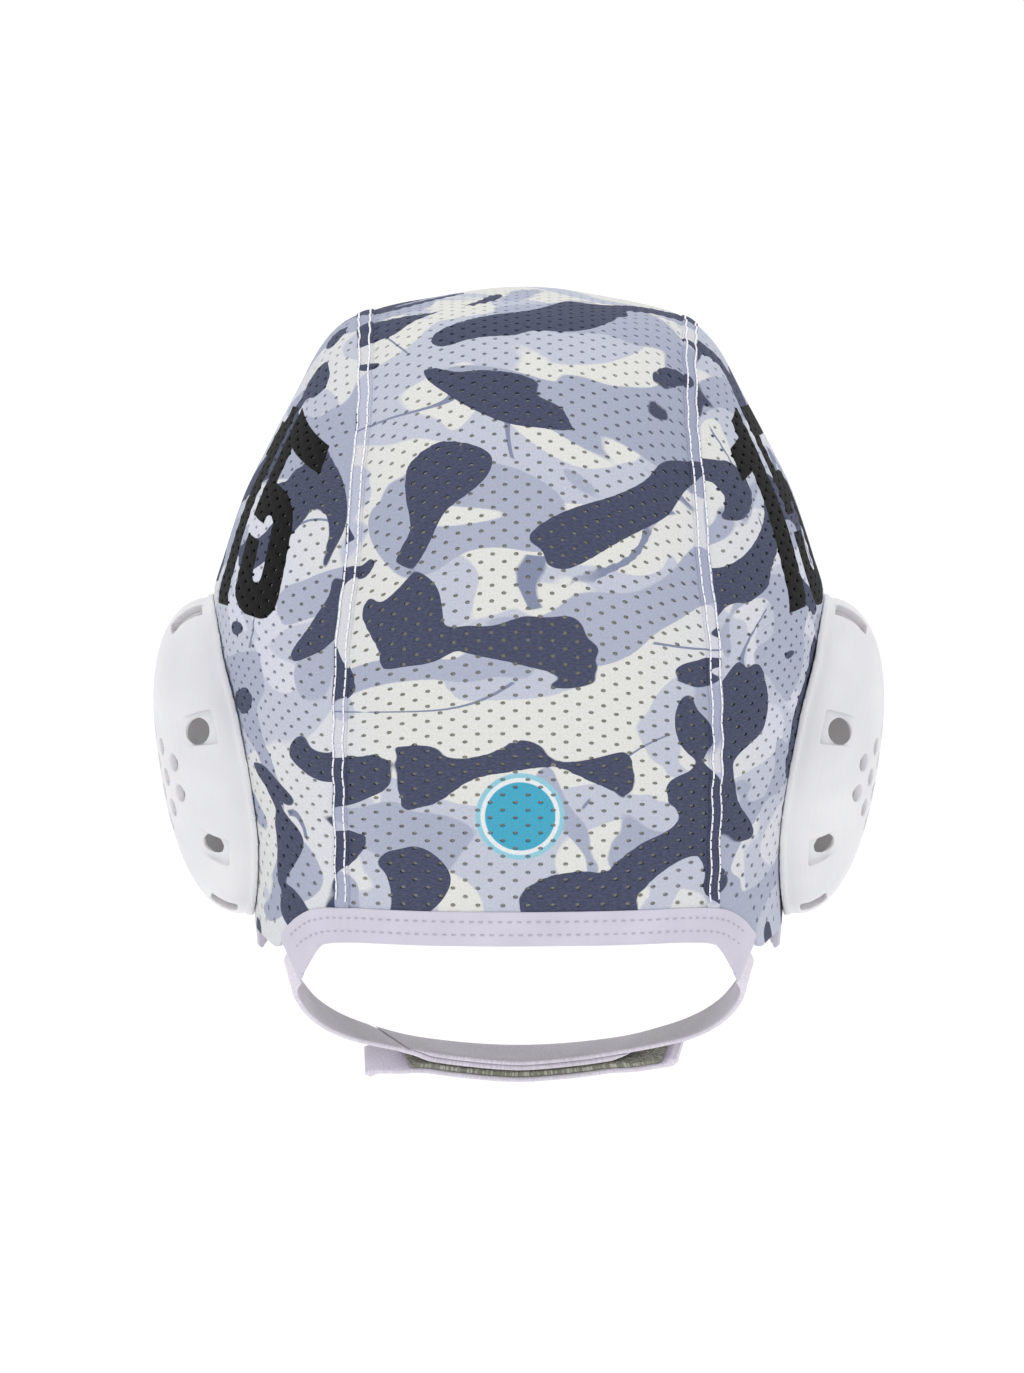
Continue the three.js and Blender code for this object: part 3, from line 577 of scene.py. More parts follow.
def stitch_row(line, normals, pitch, thread, run):
    """Points and faces of one row of stitches, each a short rounded length of thread."""
    length = lengths_along(line)
    count = int(length[-1] / pitch)
    points, faces = [], []
    stations = 0.5 + np.array([-0.5, -0.36, 0.36, 0.5]) * run
    sizes = np.array([0.55, 1.0, 1.0, 0.55])
    lifts = np.array([-0.05, 0.4, 0.4, -0.05])
    turn = np.radians(np.arange(6) * 60)
    for n in range(count):
        places = (n + stations) * pitch
        middle = at_lengths(places, length, line)
        normal = unit(at_lengths(places, length, normals))
        along = unit(middle[-1] - middle[0])
        across = unit(np.cross(along, normal))
        first = len(points)
        for k in range(4):
            centre = middle[k] + normal[k] * lifts[k] * thread
            for angle in turn:
                side = across[k] * math.cos(angle) + normal[k] * math.sin(angle) * 0.8
                points.append(centre + side * sizes[k] * thread / 2)
        for k in range(3):
            for j in range(6):
                a, b = first + 6 * k + j, first + 6 * k + (j + 1) % 6
                faces.append((a, b, b + 6, a + 6))
        faces.append(tuple(first + j for j in reversed(range(6))))
        faces.append(tuple(first + 18 + j for j in range(6)))
    return points, faces


def stitches(name, rows, sizes, material, slot, run=0.95, thickness=1.0):
    """Rows of stitches: run is the share of the pitch that each stitch covers."""
    points, faces = [], []
    for line, normals in rows:
        more, loops = stitch_row(line, normals, sizes.stitch_pitch / MM, sizes.thread / MM * thickness, run)
        faces.extend(tuple(k + len(points) for k in loop) for loop in loops)
        points.extend(more)
    piece = make_object(name, np.array(points), faces)
    outward(piece)
    smooth_by_angle(piece, 60)
    return dress(piece, material, slot)


# Materials

def linear(code):
    """A linear colour from an sRGB hex value."""
    channels = [int(code[k:k + 2], 16) / 255 for k in (0, 2, 4)]
    return tuple(c / 12.92 if c <= 0.04045 else ((c + 0.055) / 1.055) ** 2.4 for c in channels) + (1.0,)


def add_node(tree, kind, inputs=None, **settings):
    node = tree.nodes.new(kind)
    for key, value in settings.items():
        setattr(node, key, value)
    for key, value in (inputs or {}).items():
        if isinstance(value, bpy.types.NodeSocket):
            tree.links.new(value, node.inputs[key])
        else:
            node.inputs[key].default_value = value
    return node


def start_material(name, **sockets):
    """A material with its shader, whose even values are set on the shader's own sockets."""
    material = bpy.data.materials.new(name)
    material.use_nodes = True
    tree = material.node_tree
    shader = tree.nodes["Principled BSDF"]
    for key, value in sockets.items():
        shader.inputs[key.replace("_", " ")].default_value = value
    return material, tree, shader


def maths(tree, operation, *values):
    return add_node(tree, "ShaderNodeMath", dict(enumerate(values)), operation=operation).outputs[0]


def vector_maths(tree, operation, *values):
    node = add_node(tree, "ShaderNodeVectorMath", dict(enumerate(values)), operation=operation)
    return node.outputs["Value" if operation == "LENGTH" else "Vector"]


def object_place(tree):
    return add_node(tree, "ShaderNodeTexCoord").outputs["Object"]


def cloth_map(tree):
    return add_node(tree, "ShaderNodeUVMap", uv_map="cloth").outputs["UV"]


def moved_place(tree, place, **inputs):
    return add_node(tree, "ShaderNodeMapping", {"Vector": place, **inputs}).outputs["Vector"]


def noise(tree, place, scale, detail, **inputs):
    inputs = {"Vector": place, "Scale": scale, "Detail": detail, **inputs}
    return add_node(tree, "ShaderNodeTexNoise", inputs).outputs["Fac"]


def soft_step(tree, value, low, high):
    inputs = {"Value": value, "From Min": low, "From Max": high}
    return add_node(tree, "ShaderNodeMapRange", inputs, clamp=True).outputs["Result"]


def spread(tree, value, low, high):
    """Stretches the middle of a noise over a range."""
    inputs = {"Value": value, "From Min": 0.3, "From Max": 0.7, "To Min": low, "To Max": high}
    return add_node(tree, "ShaderNodeMapRange", inputs).outputs["Result"]


def blend(tree, share, under, over):
    """One colour laid over another, each a hex value or a node's colour."""
    under, over = (linear(colour) if isinstance(colour, str) else colour for colour in (under, over))
    return add_node(tree, "ShaderNodeMix", {"Factor": share, 6: under, 7: over}, data_type="RGBA").outputs[2]


def finish_material(tree, shader, base, height=None, strength=0.3, depth=0.0003, invert=False):
    """Joins the colour, and the height in metres of relief, to the shader."""
    tree.links.new(base, shader.inputs["Base Color"])
    if height is not None:
        inputs = {"Height": height, "Strength": strength, "Distance": depth}
        bump = add_node(tree, "ShaderNodeBump", inputs, invert=invert)
        tree.links.new(bump.outputs["Normal"], shader.inputs["Normal"])


def shared(name, make, *settings):
    """A material that several pieces wear is made once."""
    return bpy.data.materials.get(name) or make(name, *settings)


def box_distance(tree, place, middle, half, corner):
    """Distance from a box with rounded corners, less than nothing inside it."""
    size = vector_maths(tree, "ABSOLUTE", vector_maths(tree, "SUBTRACT", place, (*middle, 0)))
    past = vector_maths(tree, "SUBTRACT", size, (half[0] - corner, half[1] - corner, 9))
    out = vector_maths(tree, "LENGTH", vector_maths(tree, "MAXIMUM", past, (0, 0, 0)))
    return maths(tree, "SUBTRACT", out, corner)


def number_mask(tree):
    """The figure one and the figure five, from blocks with rounded corners."""
    place = add_node(tree, "ShaderNodeUVMap", uv_map="number").outputs["UV"]

    def joined(*boxes):
        whole = box_distance(tree, place, *boxes[0])
        for box in boxes[1:]:
            whole = maths(tree, "MINIMUM", whole, box_distance(tree, place, *box))
        return whole

    one = joined(((-7.6, -27.0), (5.8, 27.0), 0.3), ((-14.8, -9.0), (7.4, 4.6), 0.3))
    five = joined(
        ((17.5, -4.0), (15.0, 4.0), 0.3), ((7.0, -15.0), (4.5, 13.0), 0.3), ((14.8, -36.0), (12.3, 18.5), 9.0),
    )
    for box in (((14.8, -35.5), (2.7, 9.5), 2.6), ((7.2, -31.5), (6.0, 2.4), 0.4)):
        away = maths(tree, "MULTIPLY", box_distance(tree, place, *box), -1.0)
        five = maths(tree, "MAXIMUM", five, away)
    return soft_step(tree, maths(tree, "MINIMUM", one, five), 0.12, -0.12)


def printed_cloth(name, colours, seed, number=False, badge=False, tint=0.0):
    """Polyester knit with a dye print of four tones.
    Matt yarn with a faint sheen at grazing angles, fine crosswise loops that catch the light,
    and a print that sinks in, so the loops stay visible in the dark shapes."""
    material, tree, shader = start_material(name, Roughness=0.88, Sheen_Weight=0.04, Sheen_Roughness=0.5)
    shader.inputs["Specular IOR Level"].default_value = 0.12
    place = object_place(tree)
    moved = moved_place(tree, place, Location=(seed, seed * 0.7, seed * 0.4), Scale=(1.0, 1.0, 1.45))
    # shapes about 40 mm long, each tone with its own field
    middle_place = moved_place(tree, moved, Location=(3.1, 1.7, 0.9), Rotation=(0.4, 0.9, 0.3))
    pale_place = moved_place(tree, moved, Location=(-1.9, 2.3, 1.1), Rotation=(1.1, 0.2, 0.7))
    dark_field = noise(tree, moved, 19.0, 0.6, Roughness=0.4, Distortion=1.9)
    middle_field = noise(tree, middle_place, 17.0, 0.8, Roughness=0.4, Distortion=1.6)
    pale_field = noise(tree, pale_place, 21.0, 0.8, Roughness=0.4, Distortion=1.4)
    # thin trailing lines: the level line of another field, where the middle tone's lets it show
    trail_field = noise(tree, middle_place, 11.0, 0.0, Distortion=0.8)
    near_line = maths(tree, "ABSOLUTE", maths(tree, "SUBTRACT", trail_field, 0.5))
    trail = soft_step(tree, near_line, 0.0060, 0.0045)
    trail = maths(tree, "MULTIPLY", trail, soft_step(tree, middle_field, 0.48, 0.47))
    # loops of 0.9 mm by 0.5 mm, drawn twice as coarse as the real knit so that they show
    yarn = cloth_map(tree)
    loops = noise(tree, moved_place(tree, yarn, Scale=(0.7, 2.2, 1.0)), 1.0, 2.0, Roughness=0.6)
    grain = noise(tree, yarn, 1.6, 1.0)
    bloom = noise(tree, place, 14.0, 1.0)
    # painted shade: the ground turns cooler and darker, in patches, from 30 mm to 85 mm off the middle, where the
    # sides turn from the light
    across = add_node(tree, "ShaderNodeSeparateXYZ", {"Vector": place}).outputs["X"]
    painted_side_shade = soft_step(tree, maths(tree, "ABSOLUTE", across), 0.03, 0.085)
    painted_side_shade = maths(tree, "MULTIPLY", painted_side_shade, soft_step(tree, bloom, 0.25, 0.6))
    colour = blend(tree, painted_side_shade, colours.light, "C6CADC")
    middle_tone = blend(tree, soft_step(tree, bloom, 0.3, 0.7), colours.middle, "A9AEC0")
    dark_tone = blend(tree, soft_step(tree, loops, 0.38, 0.72), colours.dark, "51566D")
    for share, tone in (
        (soft_step(tree, pale_field, 0.52, 0.535), "B9BDCB"),
        (soft_step(tree, middle_field, 0.516, 0.526), middle_tone),
        (trail, "7F869E"),
        (soft_step(tree, dark_field, 0.540, 0.545), dark_tone),
    ):
        colour = blend(tree, share, colour, tone)
    if badge:
        off = vector_maths(tree, "SUBTRACT", place, (0.0003, -0.0905, -0.1386))
        radius = vector_maths(tree, "LENGTH", vector_maths(tree, "MULTIPLY", off, (1, 0.25, 1)))
        for reach, tone in ((0.0121, "8CC0D0"), (0.0108, "DADEE0"), (0.0096, colours.badge)):
            colour = blend(tree, soft_step(tree, radius, reach, reach - 0.00025), colour, tone)
    if number:
        colour = blend(tree, number_mask(tree), colour, colours.number)
    colour = vector_maths(tree, "MULTIPLY", colour, spread(tree, grain, 0.93, 1.04))
    if tint:
        colour = vector_maths(tree, "MULTIPLY", colour, (1 - tint, 1 - tint * 1.05, 1 - tint * 0.35))
    finish_material(tree, shader, colour, maths(tree, "ADD", loops, grain), strength=0.35)
    return material


def ribbed_tape(name, code, shade, rib_scale):
    """Elastic tape or webbing, woven with fine ribs across its length.
    Matt, with soft shadow lines between the ribs and a slightly darker grain."""
    material, tree, shader = start_material(name, Roughness=0.82, Sheen_Weight=0.15, Sheen_Roughness=0.5)
    shader.inputs["Specular IOR Level"].default_value = 0.25
    yarn = cloth_map(tree)
    inputs = {"Vector": yarn, "Scale": rib_scale, "Distortion": 0.6, "Detail": 1.0}
    ribs = add_node(tree, "ShaderNodeTexWave", inputs, bands_direction="X").outputs["Fac"]
    grain = noise(tree, yarn, 1.4, 2.0, Roughness=0.6)
    wear = noise(tree, yarn, 0.07, 1.0)
    base = blend(tree, soft_step(tree, grain, 0.3, 0.75), code, shade)
    base = vector_maths(tree, "MULTIPLY", base, spread(tree, wear, 0.95, 1.03))
    finish_material(tree, shader, base, maths(tree, "ADD", ribs, grain), depth=0.0002)
    return material


def lining(name):
    """Lining sheet in grey-olive, painted shade for the dim inside of the cap seen through the holes: matt, with
    loops too fine to part by eye.
    """
    material, tree, shader = start_material(name, Roughness=0.92)
    loops = noise(tree, object_place(tree), 700.0, 2.0)
    # two grey-olive tones of painted shade, mixed by the fine loops
    base = blend(tree, soft_step(tree, loops, 0.3, 0.7), "ACABA0", "9C9B91")
    finish_material(tree, shader, base, loops)
    return material


def hook_tape(name, code):
    """Nylon hook tape: a field of stiff loops and hooks about 0.7 mm apart, dull, with painted shade darkening the
    pile between them.
    """
    material, tree, shader = start_material(name, Roughness=0.95)
    hooks = add_node(tree, "ShaderNodeTexVoronoi", {"Vector": cloth_map(tree), "Scale": 1.5}).outputs["Distance"]
    # painted shade: the colour darkens to 7C7D70 away from each hook's middle
    base = blend(tree, soft_step(tree, hooks, 0.1, 0.6), code, "7C7D70")
    finish_material(tree, shader, base, hooks, strength=0.8, depth=0.0004, invert=True)
    return material


def guard_plastic(name, code):
    """White polypropylene, moulded in a finely polished tool.
    Soft satin gloss with a little light inside it, and faint unevenness from the mould's flow."""
    material, tree, shader = start_material(
        name, Roughness=0.36, Subsurface_Weight=0.12, Subsurface_Scale=0.003,
    )
    place = object_place(tree)
    flow, fine = noise(tree, place, 45.0, 2.0), noise(tree, place, 900.0, 1.0)
    base = blend(tree, soft_step(tree, flow, 0.3, 0.7), code, "D3D3D7")
    tree.links.new(spread(tree, flow, 0.3, 0.42), shader.inputs["Roughness"])
    finish_material(tree, shader, base, maths(tree, "ADD", flow, fine), strength=0.08)
    return material


def thread(name, code, shade):
    """Spun polyester thread: matt, with a fine twist."""
    material, tree, shader = start_material(name, Roughness=0.7, Sheen_Weight=0.2)
    twist = noise(tree, object_place(tree), 1800.0, 1.0)
    finish_material(tree, shader, blend(tree, soft_step(tree, twist, 0.3, 0.7), code, shade))
    return material


def webbing(colours):
    return shared("Elastic webbing, brushed", ribbed_tape, colours.strap, "CBC6D3", 0.9)


def sizes_and_colours():
    return bpy.context.scene.cap_sizes, bpy.context.scene.cap_colours


# Operators

class CAP_OT_centre_panel(bpy.types.Operator):
    """Builds the perforated centre panel from nape to forehead"""

    bl_idname = "cap.centre_panel"
    bl_label = "Centre Panel"

    def execute(self, context):
        sizes, colours = sizes_and_colours()
        clear = SEAM_CLEAR - SEAM_LAP
        width = lengths_along(strand_point(np.linspace(-1, 1, 60), 0.25))[-1]
        length = lengths_along(strand_point(0.0, np.linspace(0, 1, 200)))[-1]
        columns = round(width / (sizes.hole_pitch / MM))
        rows = round(length / (sizes.hole_rise / MM))
        chart, cells = staggered_cells(columns, rows)
        inside = (chart[:, 1] >= 0) & (chart[:, 1] <= rows)
        chart[:, 1] = np.clip(chart[:, 1], 0, rows)
        scale = np.array([width / columns, length / rows])

        def place(points):
            share = points[:, 1] / scale[1] / rows
            across = points[:, 0] / scale[0] / columns * 2 - 1
            side = np.where(across < 0, -1, 1)
            trim = np.where(
                side[:, None] < 0,
                beside_seam(-1, share, -clear) - strand_point(-1.0, share),
                beside_seam(1, share, -clear) - strand_point(1.0, share),
            )
            spots = onto_form(strand_point(across, share) + trim * np.abs(across)[:, None])
            at_end = ((share <= 0) | (share >= 1))[:, None]
            return np.where(at_end, onto_hem(spots), spots)

        material = printed_cloth("Polyester mesh knit, dye printed", colours, 0.0, badge=True)
        piece = perforated(
            "centre_panel_cloth", material, chart * scale, cells, inside, sizes, place,
        )
        dress(piece, material, "mesh_cloth", "centre_panel")
        return {"FINISHED"}


def guard_place(side):
    place = Matrix.Rotation(GUARD_TILT * side, 4, "Y")
    place.translation = Vector((RIM_MIDDLE[0] * side, 0, RIM_MIDDLE[2]))
    return np.array(place)


def guard_outline(angle, inset):
    """The guard's outline: a rounded upright shape, narrower at the bottom."""
    turn = np.radians(angle)
    cos, sin = np.cos(turn), np.sin(turn)
    power = GUARD_ROUNDNESS
    reach = (np.abs(cos) ** power + np.abs(sin) ** power) ** (-1 / power)
    up = reach * sin * (GUARD_HEIGHT / 2 - inset)
    taper = 1 + GUARD_TAPER * reach * sin
    forward = reach * cos * (GUARD_LENGTH / 2 - inset) * taper
    return forward, up


def cloth_rise(forward, up):
    """How far out of the rim plane the cloth lies under a place of the guard."""
    place = guard_place(1)
    forward, up = np.broadcast_arrays(forward, up)
    local = np.stack([np.full_like(up, -CAP_WIDTH / 6, dtype=float), forward, up], axis=-1)
    start = local @ place[:3, :3].T + place[:3, 3]
    on_cloth = edge_of_form(start, place[:3, 0])
    return ((on_cloth - place[:3, 3]) @ place[:3, :3])[..., 0]


RIM_TOP = level_point(90.0, float(GUARD_TOP_DEPTH))
RIM_BOTTOM = level_point(90.0, float(GUARD_TOP_DEPTH + GUARD_HEIGHT))
RIM_MIDDLE = (RIM_TOP + RIM_BOTTOM) / 2
GUARD_TILT = math.atan2(RIM_TOP[0] - RIM_BOTTOM[0], RIM_TOP[2] - RIM_BOTTOM[2])


def opening_edge(angle, inset, side):
    forward, up = guard_outline(angle, inset)
    place = guard_place(1)
    local = np.stack([cloth_rise(forward, up), forward, up], axis=-1)
    edge = local @ place[:3, :3].T + place[:3, 3]
    edge[..., 0] *= side
    return edge


CHART_RADIUS = 86.0


def side_chart(points, side):
    """Flattens a side panel round its middle: distances from there and the way to it are kept."""
    way = unit(points - CORE)
    out = way[..., 0] * side
    angle = np.arccos(np.clip(out, -1, 1))
    flat = np.stack([-way[..., 1] * side, way[..., 2]], axis=-1)
    return unit(flat) * (angle * CHART_RADIUS)[..., None]


def side_spot(chart, side):
    angle = np.linalg.norm(chart, axis=-1) / CHART_RADIUS
    flat = unit(chart) * np.sin(angle)[..., None]
    way = np.stack([np.cos(angle) * side, -flat[..., 0] * side, flat[..., 1]], axis=-1)
    return edge_of_form(CORE, way)


def nearest_on(line, points):
    """The nearest point of a closed line to each point, and whether the point lies within it."""
    start, end = line, np.roll(line, -1, axis=0)
    span = end - start
    size = np.maximum((span ** 2).sum(axis=1), 1e-12)
    best = np.full(len(points), 1e18)
    near = points.copy()
    within = np.zeros(len(points), bool)
    for a, b, run, long in zip(start, end, span, size):
        share = np.clip(((points - a) @ run) / long, 0, 1)
        spot = a + share[:, None] * run
        square = ((points - spot) ** 2).sum(axis=1)
        closer = square < best
        best[closer] = square[closer]
        near[closer] = spot[closer]
        crosses = (a[1] > points[:, 1]) != (b[1] > points[:, 1])
        if abs(b[1] - a[1]) > 1e-12:
            at = a[0] + (points[:, 1] - a[1]) / (b[1] - a[1]) * (b[0] - a[0])
            within ^= crosses & (points[:, 0] < at)
    return near, within


def number_chart(points, side):
    """Where the figures stand: across in millimetres from the gap between them, and down."""
    azimuth = np.abs(azimuth_of(points))
    across = (63.3 - azimuth) * 1.4 * (1 if side < 0 else -1)
    behind = np.maximum(61 - azimuth, 0)
    down = points[..., 2] + 31 + 0.45 * behind * (1 - 0.65 * ease(-40, -85, points[..., 2]))
    return np.stack([across, down], axis=-1)


class CAP_OT_side_panels(bpy.types.Operator):
    """Builds the two perforated side panels with their numbers"""

    bl_idname = "cap.side_panels"
    bl_label = "Side Panels"

    def execute(self, context):
        sizes, colours = sizes_and_colours()
        material = printed_cloth("Polyester mesh knit, side print", colours, 0.37, number=True)
        for side, word in ((-1, "left"), (1, "right")):
            shares = np.linspace(0, 1, 120)
            seam = beside_seam(side, shares, SEAM_CLEAR - SEAM_LAP)
            face = hem_row_at(azimuth_of(seam[-1]))
            nape = hem_row_at(azimuth_of(seam[0]))
            rows = np.linspace(face, nape, 160)[1:-1]
            hem = hem_place(rows * side)
            border = side_chart(np.concatenate([seam, hem]), side)
            opening = side_chart(opening_edge(np.linspace(0, 360, 96, endpoint=False), OPENING_INSET, side), side)
            pitch, rise = sizes.hole_pitch / MM, sizes.hole_rise / MM
            low, high = border.min(axis=0), border.max(axis=0)
            columns = math.ceil((high[0] - low[0]) / pitch)
            lines = math.ceil((high[1] - low[1]) / rise) + 1
            chart, cells = staggered_cells(columns, lines)
            chart = chart * np.array([pitch, rise]) + low
            near, within = nearest_on(border, chart)
            near_opening, in_opening = nearest_on(opening, chart)
            chart = np.where(within[:, None], chart, near)
            chart = np.where(in_opening[:, None], near_opening, chart)
            inside = within & ~in_opening
            piece = perforated(
                f"side_panel_{word}_cloth", material, chart, cells, inside, sizes,
                lambda points, side=side: side_spot(points, side),
                number=lambda points, side=side: number_chart(points, side),
            )
            dress(piece, material, "mesh_cloth", f"side_panel_{word}")
            ring = np.concatenate([border, border[:1]])
            area = abs(np.sum(ring[:-1, 0] * ring[1:, 1] - ring[1:, 0] * ring[:-1, 1])) / 2
            hole = np.concatenate([opening, opening[:1]])
            area -= abs(np.sum(hole[:-1, 0] * hole[1:, 1] - hole[1:, 0] * hole[:-1, 1])) / 2
        return {"FINISHED"}


class CAP_OT_seam_bands(bpy.types.Operator):
    """Builds the two felled seams with their rows of stitches"""

    bl_idname = "cap.seam_bands"
    bl_label = "Seam Bands"

    def execute(self, context):
        sizes, colours = sizes_and_colours()
        material = printed_cloth("Polyester knit, felled and dye printed", colours, 0.0, tint=0.07)
        white_thread = thread("Polyester thread, white", "F6F6F8", "E2E2EA")
        shares = np.linspace(0, 1, 330)
        profile = np.array([
            [-2.55, -0.3], [-2.5, 0.16], [-2.2, 0.44], [-1.95, 0.42], [-1.65, 0.3], [-1.35, 0.44], [-0.7, 0.56],
            [0.0, 0.58], [0.7, 0.56], [1.35, 0.44], [1.65, 0.3], [1.95, 0.42], [2.2, 0.44], [2.5, 0.16],
            [2.55, -0.3], [2.2, -1.5], [-2.2, -1.5],
        ])
        for side, word in ((-1, "left"), (1, "right")):
            base = np.stack([beside_seam(side, shares, across) for across in profile[:, 0]], axis=1)
            normal = form_normal(base)
            lift = relief(base) + profile[None, :, 1]
            piece = tube(f"seam_band_{word}_cloth", list(base + normal * lift[..., None]))
            spots = np.stack([
                np.broadcast_to(profile[None, :, 0], lift.shape),
                np.broadcast_to(shares[:, None] * 385, lift.shape),
            ], axis=-1).reshape(-1, 2)
            write_map(piece, "cloth", spots)
            dress(finish_cloth(piece), material, "seam_cloth", f"seam_band_{word}")
            rows = []
            for across in (-SEAM_STITCH, SEAM_STITCH):
                line = beside_seam(side, shares[2:-2], across + 0.08 * np.sin(shares[2:-2] * 61))
                ways = form_normal(line)
                rows.append((line + ways * (relief(line) + 0.42)[:, None], ways))
            stitches(f"seam_stitches_{word}", rows, sizes, white_thread, "seam_cloth")
        return {"FINISHED"}


def tape_relief(points, off):
    """The tape follows the cloth's relief at its upper edge, and rises over the seams."""
    distance, _ = from_seam(points)
    over_seam = 0.55 * np.exp(-((distance / 3.6) ** 4))
    return (relief(points) + over_seam) * (1 - 0.6 * ease(1, 6, off))


def tape_piece(name, places, width_at, material, node, sizes, stitch_rows):
    """A folded tape bound over the hem, with a rounded lower fold."""
    widths = width_at(places)
    turn = np.radians(np.array([90, 60, 30, 0, -30, -60, -90]))
    middle = hem_place(places)
    length = lengths_along(middle)
    from_end = np.minimum(length, length[-1] - length)
    profiles = []
    for width, spare in zip(widths, from_end):
        # the tape thins out over its last few millimetres
        top = mix(-0.5, 0.42, ease(0, 3, spare))
        half = (top + TAPE_UNDER) / 2
        low = width + GAP - half
        profile = [(-0.95, top - 0.2), (-0.85, top + 0.02), (-0.5, top + 0.1), (0.3, top + 0.12)]
        rises = ((0.2, -0.02), (0.3, 0.05), (0.5, 0.08), (0.72, -0.02))
        profile += [(low * share, top + rise) for share, rise in rises]
        profile += [(low + half * math.cos(a), top - half + half * math.sin(a)) for a in turn]
        profile += [(low * 0.5, -TAPE_UNDER), (0.12, -TAPE_UNDER)]
        profile += [(0.08, min(0.05, top - 0.2)), (-0.9, min(0.08, top - 0.3))]
        profiles.append(profile)
    profiles = np.array(profiles)
    base = off_hem(np.broadcast_to(places[:, None], profiles.shape[:2]), profiles[..., 0])
    normal = form_normal(base)
    gather = 0.05 * np.sin(length / 4.1 + np.sin(length / 11))[:, None] * ease(0.5, 3, profiles[..., 0])
    lift = profiles[..., 1] + gather + tape_relief(base, profiles[..., 0])
    piece = tube(name, list(base + normal * lift[..., None]))
    spots = np.stack([np.broadcast_to(length[:, None], lift.shape), profiles[..., 0]], axis=-1).reshape(-1, 2)
    write_map(piece, "cloth", spots)
    dress(finish_cloth(piece), material, "edge_tape", node)
    rows = []
    for off in stitch_rows:
        kept = from_end > 7
        line = off_hem(places[kept], np.full(kept.sum(), off))
        ways = form_normal(line)
        rows.append((line + ways * (0.4 + tape_relief(line, np.full(len(line), off)))[:, None], ways))
    lavender = shared("Polyester thread, lavender", thread, "B4B0C0", "A7A3B3")
    stitches(f"{name}_stitches", rows, sizes, lavender, "edge_tape", run=0.5, thickness=0.7)
    return piece, float(length[-1])


class CAP_OT_edge_tapes(bpy.types.Operator):
    """Builds the tapes bound over the nape and forehead edges"""

    bl_idname = "cap.edge_tapes"
    bl_label = "Edge Tapes"

    def execute(self, context):
        sizes, colours = sizes_and_colours()
        material = ribbed_tape("Elastic binding tape, ribbed", colours.tape, "C9C5D4", 1.1)
        places = np.linspace(-NAPE_TAPE_END, NAPE_TAPE_END, 220)
        nape, length = tape_piece(
            "nape_tape_cloth", places,
            lambda at: mix(NAPE_TAPE_WIDTH, TAPE_END_WIDTH, ease(4, NAPE_TAPE_END, np.abs(at))),
            material, "nape_tape", sizes, (1.9, 5.6),
        )
        places = np.linspace(FACE_TAPE_START, 2 * HEM_LAST - FACE_TAPE_START, 460)
        face, length = tape_piece(
            "face_tape_cloth", places, lambda at: np.full(at.shape, FACE_TAPE_WIDTH),
            material, "face_tape", sizes, (1.6, 5.0),
        )
        return {"FINISHED"}


def spline_through(knots, shares):
    """A centripetal curve through knots, by an even share of their count."""
    last = len(knots) - 1
    spots = []
    for share in np.atleast_1d(shares):
        at = share * last
        i = min(int(at), last - 1)
        t = at - i
        p1, p2 = knots[i], knots[i + 1]
        p0 = knots[i - 1] if i > 0 else 2 * p1 - p2
        p3 = knots[i + 2] if i + 2 <= last else 2 * p2 - p1
        d0, d1, d2 = (max(np.linalg.norm(b - a) ** 0.5, 1e-4) for a, b in ((p0, p1), (p1, p2), (p2, p3)))
        t1 = ((p1 - p0) / d0 - (p2 - p0) / (d0 + d1) + (p2 - p1) / d1) * d1
        t2 = ((p2 - p1) / d1 - (p3 - p1) / (d1 + d2) + (p3 - p2) / d2) * d1
        spots.append(
            p1 + t1 * t + (-3 * p1 + 3 * p2 - 2 * t1 - t2) * t * t + (2 * p1 - 2 * p2 + t1 + t2) * t ** 3)
    return np.array(spots)


def strap_curve():
    middle = off_hem(np.array([NAPE_TAPE_END]), np.array([GAP + TAPE_END_WIDTH / 2 + STRAP_TUCK]))
    normal = form_normal(middle)[0]
    start = middle[0] - normal * (CLOTH / 2 + STRAP_TUCK)
    points, ways = [start], [normal]
    for out, along, down, nx, ny, nz in STRAP_ROUTE:
        points.append(np.array([out * start[0], mix(start[1], CHIN_REACH, along), start[2] - down * STRAP_DROP]))
        ways.append(np.array([nx, ny, nz]))
    flip = np.array([-1, 1, 1])
    points += [point * flip for point in points[-2::-1]]
    ways += [way * flip for way in ways[-2::-1]]
    shares = np.linspace(0, 1, 1200)
    line = spline_through(np.array(points), shares)
    facing = spline_through(np.array(ways), shares)
    return line, facing, lengths_along(line)


STRAP_LINE, STRAP_FACING, STRAP_ALONG = strap_curve()
STRAP_LENGTH = STRAP_ALONG[-1]


def strap_frame(distances):
    """Points on the strap's middle line, and the ways forward and outward of it."""
    at = np.clip(distances + STRAP_LENGTH / 2, 0, STRAP_LENGTH)
    point = at_lengths(at, STRAP_ALONG, STRAP_LINE)
    tangent = unit(at_lengths(at, STRAP_ALONG, np.gradient(STRAP_LINE, axis=0)))
    facing = at_lengths(at, STRAP_ALONG, STRAP_FACING)
    outward_way = unit(facing - tangent * (facing * tangent).sum(axis=1, keepdims=True))
    return point, np.cross(outward_way, tangent), outward_way


